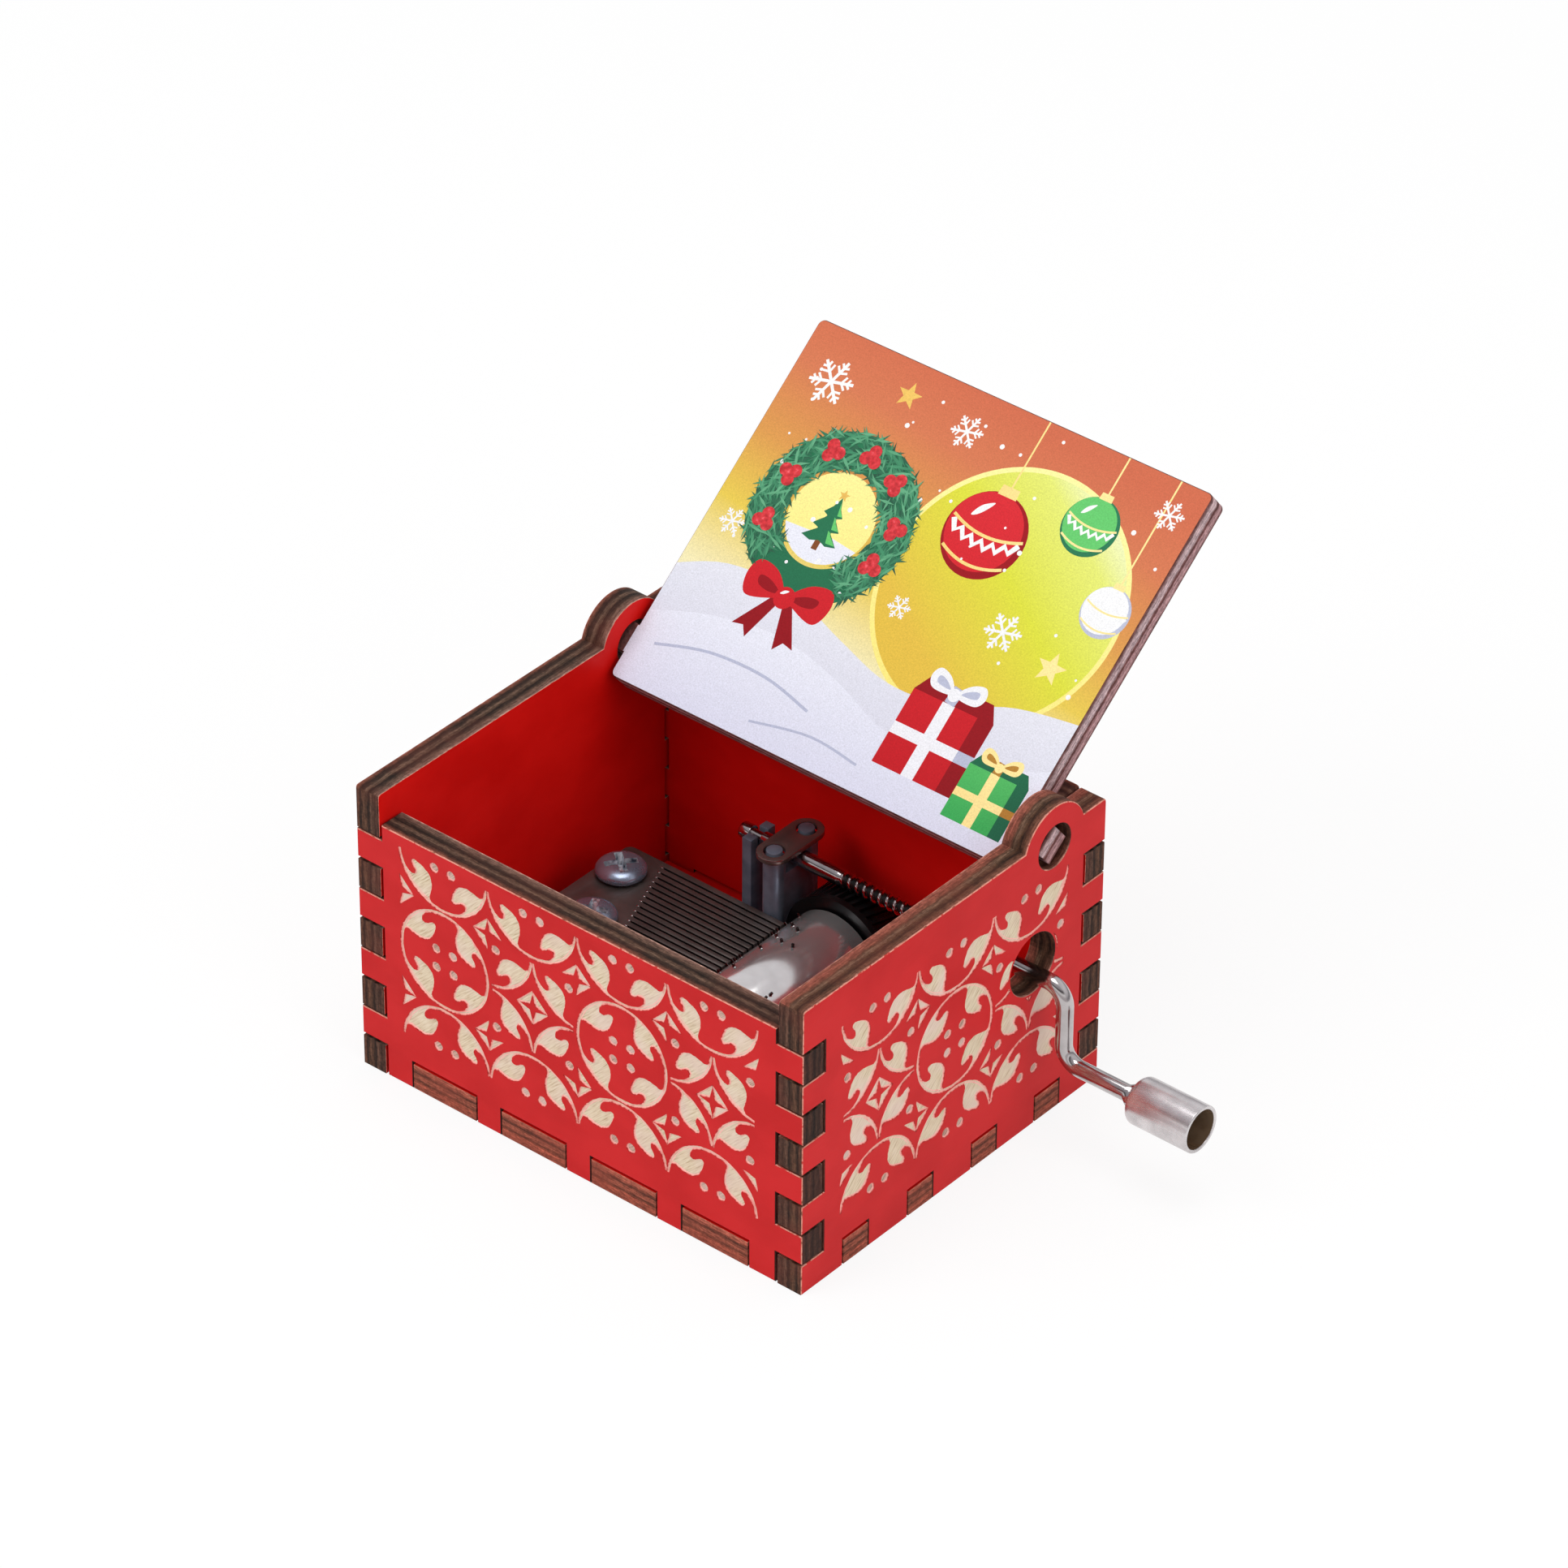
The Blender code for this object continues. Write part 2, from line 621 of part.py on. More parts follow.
core_start = CYLINDER_FRONT + SPIGOT_LENGTH + FIT
core_end = CYLINDER_BACK - SPIGOT_LENGTH - FIT
add_object(
    "cylinder_core",
    turned(
        [
            (core_start, BORE_RADIUS),
            (core_start, FILL_RADIUS),
            (core_end, FILL_RADIUS),
            (core_end, BORE_RADIUS),
        ],
        SMALL_SIDES,
        "Y",
    ),
    RESIN,
    parent=cylinder_axis,
)
add_object(
    "cylinder_cap",
    turned(
        [
            (CAP_FRONT, BORE_RADIUS),
            (CAP_FRONT, CYLINDER_RADIUS),
            (CYLINDER_FRONT - FIT, CYLINDER_RADIUS),
            (CYLINDER_FRONT - FIT, FILL_RADIUS),
            (CYLINDER_FRONT + SPIGOT_LENGTH, FILL_RADIUS),
            (CYLINDER_FRONT + SPIGOT_LENGTH, BORE_RADIUS),
        ],
        ROUND_SIDES // 2,
        "Y",
    ),
    BLACK_PLASTIC,
    parent=cylinder_axis,
)
arbor_start = FRONT_LUG_BACK - LUG_THICKNESS - ARBOR_END
arbor_end = REAR_LUG_FRONT + LUG_THICKNESS + ARBOR_END
arbor = add_object(
    "cylinder_arbor",
    turned(
        [
            (arbor_start, 0),
            (arbor_start, ARBOR_RADIUS),
            (arbor_end, ARBOR_RADIUS),
            (arbor_end, 0),
        ],
        SMALL_SIDES,
        "Y",
    ),
    SCREW_STEEL,
    parent=cylinder_axis,
)
shade_round(arbor)


def gear_ring(y, shape):
    # four points a tooth; shape gives each point's radius and place in the tooth pitch
    twist = (y - SHAFT_Y) * THREAD_PITCH / (2 * math.pi * WORM_PITCH_RADIUS) / GEAR_PITCH_RADIUS
    ring = []
    for tooth in range(GEAR_TEETH):
        for place, radius in shape:
            angle = 2 * math.pi * (tooth + 0.5 + place) / GEAR_TEETH + twist
            ring.append((radius * math.sin(angle), y, radius * math.cos(angle)))
    return ring


def worm_gear():
    # spigot, flange and helical teeth as rings of equal point counts, with a bore
    tip = GEAR_PITCH_RADIUS + GEAR_TIP_ABOVE_PITCH
    root = tip - GEAR_TOOTH_DEPTH
    flange = GEAR_PITCH_RADIUS + GEAR_FLANGE_ABOVE_PITCH
    places = (-GEAR_TOOTH_FOOT, -GEAR_TOOTH_TIP, GEAR_TOOTH_TIP, GEAR_TOOTH_FOOT)

    def plain(radius):
        return [(place, radius) for place in places]

    tooth = [(places[0], root), (places[1], tip), (places[2], tip), (places[3], root)]
    toothed_from = GEAR_FRONT + GEAR_FLANGE_WIDTH
    middle = (toothed_from + GEAR_BACK) / 2
    spigot_end = CYLINDER_BACK - SPIGOT_LENGTH
    rings = [
        gear_ring(spigot_end, plain(BORE_RADIUS)),
        gear_ring(spigot_end, plain(FILL_RADIUS)),
        gear_ring(GEAR_FRONT, plain(FILL_RADIUS)),
        gear_ring(GEAR_FRONT, plain(flange)),
        gear_ring(toothed_from, plain(flange)),
        gear_ring(toothed_from, tooth),
        gear_ring(middle, tooth),
        gear_ring(GEAR_BACK, tooth),
        gear_ring(GEAR_BACK, plain(BORE_RADIUS)),
    ]
    built = bmesh.new()
    corners = [[built.verts.new(point) for point in ring] for ring in rings]
    count = len(corners[0])
    for here, there in zip(corners, corners[1:] + corners[:1]):
        for k in range(count):
            after = (k + 1) % count
            built.faces.new((here[k], there[k], there[after], here[after]))
    return built


add_object("worm_gear", worm_gear(), BLACK_PLASTIC, parent=cylinder_axis)


# Crank: one bent wire with a rolled worm, a neck for the fork and an upset end

def thread_radius(x, angle):
    # right-handed thread whose crests meet the gaps of the wheel below it
    turns = (x - CYLINDER_X) / THREAD_PITCH - angle / (2 * math.pi) - 0.25
    off_crest = abs(turns - round(turns))
    fade = min(1.0, (x - WORM_START) / THREAD_PITCH, (WORM_END - x) / THREAD_PITCH)
    rise = max(0.0, min(1.0, (THREAD_FOOT - off_crest) / THREAD_FLANK))
    shallow = 1 - max(0.0, fade)
    return THREAD_ROOT + THREAD_DEPTH * max(rise, shallow)


def bend(centre, start, end):
    # points and tangents of a quarter bend in the plane of the crank
    made = []
    turn = 1 if end > start else -1
    for k in range(ARC_STEPS + 1):
        angle = math.radians(start + (end - start) * k / ARC_STEPS)
        point = centre + BEND_RADIUS * Vector((math.cos(angle), 0, math.sin(angle)))
        tangent = turn * Vector((-math.sin(angle), 0, math.cos(angle)))
        made.append((point, tangent, WIRE_RADIUS))
    return made


def crank_stations():
    # centre, tangent and radius along the wire, in the crank's own frame
    along_x = Vector((1, 0, 0))
    fork_left = FORK_X - FORK_THICKNESS / 2 - NECK_GAP
    fork_right = FORK_X + FORK_THICKNESS / 2 + NECK_GAP
    head_start = fork_left - HEAD_LENGTH
    chamfer = FIT / 2
    stations = [
        (head_start, WIRE_RADIUS - chamfer),
        (head_start + chamfer, WIRE_RADIUS),
        (fork_left, WIRE_RADIUS),
        (fork_left, NECK_RADIUS),
        (fork_right, NECK_RADIUS),
        (fork_right, WIRE_RADIUS),
        (WORM_START, WIRE_RADIUS),
    ]
    rings = THREAD_TURNS * RINGS_PER_TURN
    for k in range(1, rings):
        stations.append((WORM_START + k * THREAD_PITCH / RINGS_PER_TURN, None))
    stations.append((WORM_END, WIRE_RADIUS))
    path = [(Vector((x, 0, 0)), along_x, radius) for x, radius in stations]
    path += bend(Vector((ARM_X - BEND_RADIUS, 0, -BEND_RADIUS)), 90, 0)
    path += bend(Vector((ARM_X + BEND_RADIUS, 0, BEND_RADIUS - ARM_LENGTH)), 180, 270)
    collar_end = KNOB_START - FIT
    cup_back = KNOB_START + KNOB_SHELL + FIT
    tail = [
        (collar_end - COLLAR_LENGTH - chamfer, WIRE_RADIUS),
        (collar_end - COLLAR_LENGTH, COLLAR_RADIUS),
        (collar_end, COLLAR_RADIUS),
        (collar_end, WIRE_RADIUS),
        (cup_back, WIRE_RADIUS),
        (cup_back, UPSET_RADIUS),
        (cup_back + UPSET_LENGTH, UPSET_RADIUS),
        (cup_back + 2 * UPSET_LENGTH, WIRE_RADIUS / 2),
    ]
    path += [(Vector((x, 0, -ARM_LENGTH)), along_x, radius) for x, radius in tail]
    return path


def crank_wire():
    built = bmesh.new()
    across = Vector((0, 1, 0))
    rings = []
    for centre, tangent, radius in crank_stations():
        upward = tangent.cross(across)
        ring = []
        for k in range(WIRE_SIDES):
            angle = 2 * math.pi * k / WIRE_SIDES
            reach = thread_radius(centre.x, angle) if radius is None else radius
            offset = across * math.cos(angle) + upward * math.sin(angle)
            ring.append(built.verts.new(centre + reach * offset))
        rings.append(ring)
    for here, there in zip(rings, rings[1:]):
        for k in range(WIRE_SIDES):
            after = (k + 1) % WIRE_SIDES
            built.faces.new((here[k], there[k], there[after], here[after]))
    built.faces.new(rings[0])
    built.faces.new(reversed(rings[-1]))
    return built


crank_axis = empty("crank_axis", (0, SHAFT_Y, SHAFT_Z))
crank = add_object("crank_shaft", crank_wire(), NICKEL, parent=crank_axis)
shade_round(crank)

knob_axis = empty("knob_axis", (KNOB_START, 0, -ARM_LENGTH), crank_axis)
knob_inside = KNOB_RADIUS - KNOB_SHELL
knob_profile = [(0, WIRE_RADIUS + FIT)]
knob_profile += [
    (KNOB_ROUNDING - KNOB_ROUNDING * math.cos(math.radians(a)),
     KNOB_RADIUS - KNOB_ROUNDING + KNOB_ROUNDING * math.sin(math.radians(a)))
    for a in (0, 30, 60, 90)
]
knob_profile += [
    (KNOB_LENGTH, KNOB_RADIUS),
    (KNOB_LENGTH, knob_inside),
    (KNOB_ROUNDING, knob_inside),
    (KNOB_SHELL, knob_inside - KNOB_ROUNDING + KNOB_SHELL),
    (KNOB_SHELL, WIRE_RADIUS + FIT),
]
knob = add_object(
    "crank_knob", turned(knob_profile, ROUND_SIDES // 2, "X"), NICKEL, parent=knob_axis
)
shade_round(knob)


# Bedplate: one casting that carries the comb, the cylinder and the crank wire

def bed_plan():
    # a C that is open to the right, under the cylinder and its wheel
    left = COMB_LEFT - BED_MARGIN
    right = CYLINDER_X + LUG_HALF_WIDTH
    front = FRONT_LUG_BACK - ARM_WIDTH
    back = REAR_LUG_FRONT + ARM_WIDTH
    inner = RETAINER_X + POST_RADIUS
    return [
        (left, front),
        (right, front),
        (right, FRONT_LUG_BACK),
        (inner, FRONT_LUG_BACK),
        (inner, REAR_LUG_FRONT),
        (right, REAR_LUG_FRONT),
        (right, back),
        (FORK_X - FORK_THICKNESS, back),
        (FORK_X - FORK_THICKNESS, COMB_BACK),
        (left, COMB_BACK),
    ]


def comb_block():
    # the raised seat under the comb's base, its right side slanting with the roots
    left = COMB_LEFT
    clear = COMB_SCREW_RADIUS
    return [
        (left, COMB_FRONT),
        (root_x(COMB_TEETH - 1) - clear, COMB_FRONT),
        (root_x(0) - clear, COMB_BACK),
        (left, COMB_BACK),
    ]


def lug(y):
    # an upright with a round top for the arbor
    outline = [(CYLINDER_X - LUG_HALF_WIDTH, BED_BOTTOM), (CYLINDER_X + LUG_HALF_WIDTH, BED_BOTTOM)]
    outline += arc(CYLINDER_X, AXIS_Z, LUG_HALF_WIDTH, 0, 180, 2 * ARC_STEPS)
    return prism(outline, y, y + LUG_THICKNESS, upright_front)


bed = add_object("bedplate", prism(bed_plan(), BED_BOTTOM, BED_BOTTOM + BED_THICKNESS), ZINC)
INSIDE_BED = BED_BOTTOM + BED_THICKNESS / 2
combine(bed, prism(comb_block(), INSIDE_BED, COMB_BOTTOM - FIT), "UNION", "comb_block")
combine(bed, lug(FRONT_LUG_BACK - LUG_THICKNESS), "UNION", "front_lug")
combine(bed, lug(REAR_LUG_FRONT), "UNION", "rear_lug")
bore = prism(circle(CYLINDER_X, AXIS_Z, BORE_RADIUS, SMALL_SIDES),
             FRONT_LUG_BACK - 2 * LUG_THICKNESS, REAR_LUG_FRONT + 2 * LUG_THICKNESS, upright_front)
combine(bed, bore, "DIFFERENCE", "arbor_bore")

saddle_top = SHAFT_Z - WIRE_RADIUS - RUNNING_GAP
saddle = rectangle(RETAINER_X - SADDLE_WIDTH / 2, RETAINER_X + SADDLE_WIDTH / 2,
                   SHAFT_Y - POST_SPACING / 2, SHAFT_Y + POST_SPACING / 2)
combine(bed, prism(saddle, INSIDE_BED, saddle_top), "UNION", "saddle")
for number, side in enumerate((-1, 1)):
    y = SHAFT_Y + side * POST_SPACING / 2
    post = prism(circle(RETAINER_X, y, POST_RADIUS, SMALL_SIDES), INSIDE_BED, RETAINER_BOTTOM - FIT)
    combine(bed, post, "UNION", "post_%d" % number)
    stub = prism(circle(RETAINER_X, y, POST_STUB_RADIUS, SMALL_SIDES),
                 saddle_top, RETAINER_TOP + FIT / 2)
    combine(bed, stub, "UNION", "stub_%d" % number)

FORK_TOP = SHAFT_Z + FORK_ABOVE_AXIS
fork = rectangle(FORK_X - FORK_THICKNESS / 2, FORK_X + FORK_THICKNESS / 2,
                 SHAFT_Y - FORK_WIDTH / 2, SHAFT_Y + FORK_WIDTH / 2)
combine(bed, prism(fork, INSIDE_BED, FORK_TOP), "UNION", "fork_post")
slot = rectangle(FORK_X - FORK_THICKNESS, FORK_X + FORK_THICKNESS,
                 SHAFT_Y - NECK_RADIUS - NECK_GAP, SHAFT_Y + NECK_RADIUS + NECK_GAP)
slot_cut = prism(slot, SHAFT_Z - NECK_RADIUS - NECK_GAP, FORK_TOP + FORK_THICKNESS)
combine(bed, slot_cut, "DIFFERENCE", "fork_slot")

BED_SCREW_PLACES = [
    (COMB_SCREW_MIDDLE_X, COMB_SCREW_MIDDLE_Y),
    ((FORK_X + RETAINER_X) / 2, SHAFT_Y),
    (RETAINER_X, FRONT_LUG_BACK - ARM_WIDTH / 2),
]
BOSS_TOP = BED_BOTTOM + BED_BOSS_HEIGHT
SCREW_TOP = BED_BOTTOM + BED_SCREW_DEPTH
for number, (x, y) in enumerate(BED_SCREW_PLACES):
    if number > 0:
        boss = prism(circle(x, y, BED_BOSS_RADIUS, SMALL_SIDES), BED_BOTTOM, BOSS_TOP)
        combine(bed, boss, "UNION", "boss_%d" % number)
for number, (x, y) in enumerate(BED_SCREW_PLACES):
    hole = circle(x, y, BED_SCREW_RADIUS + FIT, SMALL_SIDES)
    tapped = prism(hole, BED_BOTTOM - FIT / 2, SCREW_TOP + FIT)
    combine(bed, tapped, "DIFFERENCE", "tapped_%d" % number)
for number, (x, y) in enumerate(COMB_SCREW_PLACES):
    hole = circle(x, y, COMB_SCREW_RADIUS + FIT, SMALL_SIDES)
    tapped = prism(hole, COMB_TOP - COMB_SCREW_LENGTH - FIT, COMB_BOTTOM)
    combine(bed, tapped, "DIFFERENCE", "comb_tapped_%d" % number)

# Countersunk screws that hold the bedplate down from under the floor

def sunk_profile(shank, head, top):
    cone = head - shank
    return [(0, 0), (0, head), (cone, shank), (top, shank), (top, 0)]


for number, (x, y) in enumerate(BED_SCREW_PLACES):
    recess = moved(
        turned(
            sunk_profile(BED_SCREW_RADIUS + FIT, BED_SCREW_HEAD_RADIUS + 2 * FIT, 2 * WALL),
            SMALL_SIDES,
            "Z",
        ),
        x, y, -FIT / 2,
    )
    combine(floor_panel, recess, "DIFFERENCE", "sunk_hole_%d" % number)

for number, (x, y) in enumerate(BED_SCREW_PLACES):
    name = "bedplate_screw_%d" % (number + 1)
    profile = sunk_profile(BED_SCREW_RADIUS, BED_SCREW_HEAD_RADIUS, SCREW_TOP - FIT)
    screw = add_object(name, moved(turned(profile, SMALL_SIDES, "Z"), x, y, FIT), SCREW_STEEL)
    bars = cross_recess(BED_SCREW_HEAD_RADIUS * 1.3, BED_SCREW_HEAD_RADIUS / 4, x, y, FIT)
    for turn, bar in enumerate(bars):
        combine(screw, bar, "DIFFERENCE", "%s_recess_%d" % (name, turn))


# Retainer: the oblong plate riveted over the crank wire

half_spacing = POST_SPACING / 2
retainer_outline = arc(RETAINER_X, SHAFT_Y + half_spacing, RETAINER_RADIUS, 0, 180, 2 * ARC_STEPS)
retainer_outline += arc(
    RETAINER_X, SHAFT_Y - half_spacing, RETAINER_RADIUS, 180, 360, 2 * ARC_STEPS
)
retainer = add_object(
    "shaft_retainer", prism(retainer_outline, RETAINER_BOTTOM, RETAINER_TOP), RETAINER_STEEL
)
for number, side in enumerate((-1, 1)):
    hole = circle(RETAINER_X, SHAFT_Y + side * half_spacing, POST_STUB_RADIUS + FIT, SMALL_SIDES)
    cut = prism(hole, RETAINER_BOTTOM - FIT, RETAINER_TOP + FIT)
    combine(retainer, cut, "DIFFERENCE", "rivet_hole_%d" % number)
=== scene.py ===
# %% [markdown]
# # A hand-cranked music box
#
# The real object is a small case of laser-cut plywood, painted red, with scroll leaves
# burnt through the paint, a printed lid and a steel comb movement inside.
# The solids come from a fixed frame. This script dresses them: it cuts the engraving,
# prints the lid, rounds the metal parts and gives each surface its finish.

# %% Load the frame
import bisect
import math
import random

import bmesh
import bpy
from mathutils import Matrix, Vector
from mathutils.geometry import delaunay_2d_cdt


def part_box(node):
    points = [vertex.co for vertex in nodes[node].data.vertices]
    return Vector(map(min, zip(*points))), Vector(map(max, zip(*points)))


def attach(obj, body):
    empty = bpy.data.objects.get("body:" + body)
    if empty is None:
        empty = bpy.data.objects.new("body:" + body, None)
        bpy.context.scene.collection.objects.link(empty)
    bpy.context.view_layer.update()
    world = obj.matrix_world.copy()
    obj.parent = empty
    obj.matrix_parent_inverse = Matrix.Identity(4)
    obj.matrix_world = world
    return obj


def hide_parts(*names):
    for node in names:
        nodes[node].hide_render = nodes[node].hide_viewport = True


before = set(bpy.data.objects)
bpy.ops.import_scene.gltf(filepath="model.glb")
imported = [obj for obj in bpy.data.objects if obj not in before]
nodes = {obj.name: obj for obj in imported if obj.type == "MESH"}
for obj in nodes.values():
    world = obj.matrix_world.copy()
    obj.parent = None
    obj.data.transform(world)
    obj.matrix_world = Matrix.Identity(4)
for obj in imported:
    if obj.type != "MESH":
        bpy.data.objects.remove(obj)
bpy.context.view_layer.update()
MM = 0.001
X, Y, Z = Vector((1, 0, 0)), Vector((0, 1, 0)), Vector((0, 0, 1))

# %% [markdown]
# ## Colours and nodes
#
# A colour is written as a maker would pick it, in sRGB hex. Blender's shaders want linear
# light, so one function turns it. Another small function adds a node, sets it and links it,
# for shaders and for Geometry Nodes alike, so that a finish reads as a short list.

# %% Helpers for colours and nodes
def linear(hex_colour):
    channels = [int(hex_colour[i:i + 2], 16) / 255 for i in (1, 3, 5)]
    return [c / 12.92 if c <= 0.04045 else ((c + 0.055) / 1.055) ** 2.4 for c in channels] + [1.0]


def join(tree, node, inputs):
    """Links a socket, or a node's first open output, to an input, and sets any other value."""
    for name, value in dict(inputs).items():
        if isinstance(value, bpy.types.Node):
            value = next(output for output in value.outputs if output.enabled)
        if isinstance(value, bpy.types.NodeSocket):
            tree.links.new(value, node.inputs[name])
        else:
            node.inputs[name].default_value = linear(value) if str(value)[0] == "#" else value


def add(tree, kind, inputs=(), stops="", **settings):
    """Adds a node. Stops are pairs of a place in percent and a colour."""
    made = tree.nodes.new(kind)
    for name, value in settings.items():
        setattr(made, name, value)
    words = stops.split()
    for number, (percent, colour) in enumerate(zip(words[::2], words[1::2])):
        ramp = made.color_ramp.elements
        stop = ramp[number] if number < 2 else ramp.new(int(percent) / 100)
        stop.position, stop.color = int(percent) / 100, linear(colour)
    join(tree, made, inputs)
    return made


def span(low, high, to_low=0.0, to_high=1.0):
    return {"From Min": low, "From Max": high, "To Min": to_low, "To Max": to_high}


def new_finish(name):
    made = bpy.data.materials.new(name)
    made.use_nodes = True
    tree = made.node_tree
    where = add(tree, "ShaderNodeTexCoord").outputs["Object"]
    return made, tree, tree.nodes["Principled BSDF"], where


def scaled(tree, where, size_mm):
    """Object coordinates counted in pattern cells of the given size along X, Y and Z."""
    sizes = size_mm if isinstance(size_mm, tuple) else (size_mm,) * 3
    return add(tree, "ShaderNodeMapping", {"Vector": where, "Scale": [1 / (s * MM) for s in sizes]})


def blotches(tree, where, size_mm, detail=2.0, **more):
    return add(tree, "ShaderNodeTexNoise", {"Vector": scaled(tree, where, size_mm), "Scale": 1.0,
                                            "Detail": detail, **more})


def coat(tree, shader, colour, roughness, specular=0.5, height=None, relief_mm=0.0, strength=1.0):
    """Gives a finish its colour and gloss, and a fine relief where it has a height."""
    join(tree, shader, {"Base Color": colour, "Roughness": roughness,
                        "Specular IOR Level": specular})
    if relief_mm:
        join(tree, shader, {"Normal": add(tree, "ShaderNodeBump", {
            "Height": height, "Distance": relief_mm * MM, "Strength": strength})})


def in_scene(name, data):
    made = bpy.data.objects.new(name, data)
    bpy.context.scene.collection.objects.link(made)
    return made


def mesh_of(name, made):
    """Ends a bmesh and keeps it as a mesh."""
    mesh = bpy.data.meshes.new(name)
    made.to_mesh(mesh)
    made.free()
    return mesh


def claim(piece, slot, body, *replaced):
    """Hides the solids that a piece replaces and hangs it on the body that it rides. The slot is
    not used.
    """
    if replaced:
        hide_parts(*replaced)
    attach(piece, body)
    print(piece.name, "triangles", sum(len(p.vertices) - 2 for p in piece.data.polygons))


# %% [markdown]
# ## Camera, floor and light
#
# The view is from the front right and above, with a long lens, so the box's edges stay
# nearly parallel. Soft lamps at a plain level light it. The pure white ground comes from
# the floor's own colour, and a little of its shade is kept so that the box stands on it.

# %% Camera
VIEW_AZIMUTH, VIEW_ELEVATION, VIEW_ROLL = (math.radians(a) for a in (39.94, 35.35, 0.367))
VIEW_AIM = Vector((-7.4, 17.9, 26.0)) * MM
VIEW_DISTANCE = 892.7 * MM
LENS_MM = 183.03

forward = Vector((-math.sin(VIEW_AZIMUTH) * math.cos(VIEW_ELEVATION),
                  math.cos(VIEW_AZIMUTH) * math.cos(VIEW_ELEVATION),
                  -math.sin(VIEW_ELEVATION)))
level_right = Vector((math.cos(VIEW_AZIMUTH), math.sin(VIEW_AZIMUTH), 0))
level_up = level_right.cross(forward)
right = level_right * math.cos(VIEW_ROLL) + level_up * math.sin(VIEW_ROLL)
up = right.cross(forward)
lens = bpy.data.cameras.new("camera")
lens.lens, lens.sensor_width = LENS_MM, 36.0
lens.clip_start, lens.clip_end = 0.05, 20.0
camera = in_scene("camera", lens)
turned_to_view = Matrix((right, up, -forward)).transposed().to_4x4()
camera.matrix_world = Matrix.Translation(VIEW_AIM - forward * VIEW_DISTANCE) @ turned_to_view
bpy.context.scene.camera = camera
bpy.context.scene.view_settings.view_transform = "Standard"

# %% Floor
FLOOR_HALF = 4.0
FLOOR_WHITENESS = 0.86
FLOOR_GAP = 0.02 * MM
floor_mesh = bpy.data.meshes.new("floor")
floor_mesh.from_pydata([(x * FLOOR_HALF, y * FLOOR_HALF, -FLOOR_GAP)
                        for x, y in ((-1, -1), (1, -1), (1, 1), (-1, 1))], [], [(0, 1, 2, 3)])
floor = in_scene("floor", floor_mesh)

paper, tree, shader, where = new_finish("white_paper_floor")
coat(tree, shader, "#F4F4F4", 0.9)
rays = add(tree, "ShaderNodeLightPath").outputs
direct = add(tree, "ShaderNodeMath", {0: rays["Is Camera Ray"], 1: rays["Is Glossy Ray"]},
             operation="MAXIMUM")
any_seen = add(tree, "ShaderNodeMath", {0: direct, 1: rays["Is Transmission Ray"]},
               operation="MAXIMUM")
seen = add(tree, "ShaderNodeMath", {0: any_seen, 1: FLOOR_WHITENESS}, operation="MULTIPLY")
glow = add(tree, "ShaderNodeEmission", {"Color": "#FFFFFF", "Strength": 1.0})
mixed = add(tree, "ShaderNodeMixShader", {0: seen, 1: shader, 2: glow})
join(tree, tree.nodes["Material Output"], {"Surface": mixed})
floor_mesh.materials.append(paper)

# %% World and lamps
WORLD_LEVEL = 0.55
world = bpy.data.worlds.new("soft_room")
bpy.context.scene.world = world
world.use_nodes = True
tree = world.node_tree
tree.nodes.clear()
rays = add(tree, "ShaderNodeLightPath").outputs
direction = add(tree, "ShaderNodeTexCoord").outputs["Generated"]
toward = add(tree, "ShaderNodeSeparateXYZ", {0: direction}).outputs
front_room = add(tree, "ShaderNodeValToRGB", {"Fac": toward["Z"]}, "0 #C9C3C6 22 #CFCACC "
                 "33 #FFFFFF 43 #FFFFFF 51 #565153 60 #4A4648 70 #B0ADB2 100 #C4C1C6")
back_room = add(tree, "ShaderNodeValToRGB", {"Fac": toward["Z"]},
                "0 #BDBBBF 14 #88868A 34 #D6D5D8 60 #EFEFF1 100 #DADADD")
behind = add(tree, "ShaderNodeMapRange", {"Value": toward["Y"], **span(-0.3, 0.1)})
room = add(tree, "ShaderNodeMix", {0: behind, 6: front_room, 7: back_room}, data_type="RGBA")
plain = add(tree, "ShaderNodeBackground", {"Color": "#FFFFFF", "Strength": WORLD_LEVEL})
mirrored = add(tree, "ShaderNodeBackground", {"Color": room, "Strength": 1.0})
white = add(tree, "ShaderNodeBackground", {"Color": "#FFFFFF", "Strength": 1.0})
first = add(tree, "ShaderNodeMixShader", {0: rays["Is Glossy Ray"], 1: plain, 2: mirrored})
clear = add(tree, "ShaderNodeMath", {0: rays["Is Camera Ray"], 1: rays["Is Transmission Ray"]},
            operation="MAXIMUM")
second = add(tree, "ShaderNodeMixShader", {0: clear, 1: first, 2: white})
add(tree, "ShaderNodeOutputWorld", {"Surface": second})

LAMP_AIM = Vector((0, 0, 0.02))


def soft_lamp(name, place, power, size, mirrored=False):
    data = bpy.data.lights.new(name, "AREA")
    data.energy, data.shape, data.size = power, "SQUARE", size
    lamp = in_scene(name, data)
    lamp.location = place
    lamp.rotation_euler = (LAMP_AIM - Vector(place)).to_track_quat("-Z", "Y").to_euler()
    lamp.visible_glossy = mirrored


soft_lamp("key_softbox", (-0.45, -0.80, 0.90), 5.8, 0.7)
soft_lamp("fill_softbox", (0.95, -0.10, 0.55), 3.0, 0.7)
soft_lamp("top_softbox", (0.06, -0.06, 1.20), 4.4, 0.6, True)
print("camera, floor and", len(bpy.data.lights), "lamps are set")

# %% [markdown]
# ## Plywood finishes
#
# The panels are thin plywood sprayed with satin red paint and cut by a laser. The paint
# follows the grain a little. The cut edge is charred brown, with the glue lines and plies
# as stripes, so its pattern follows the depth in the board: an attribute on the mesh holds
# that depth, from 0 at the outer face to 1 at the inner one. The engraved floor is bare
# basswood, and the sloped rim of each cut is scorched pink paint.

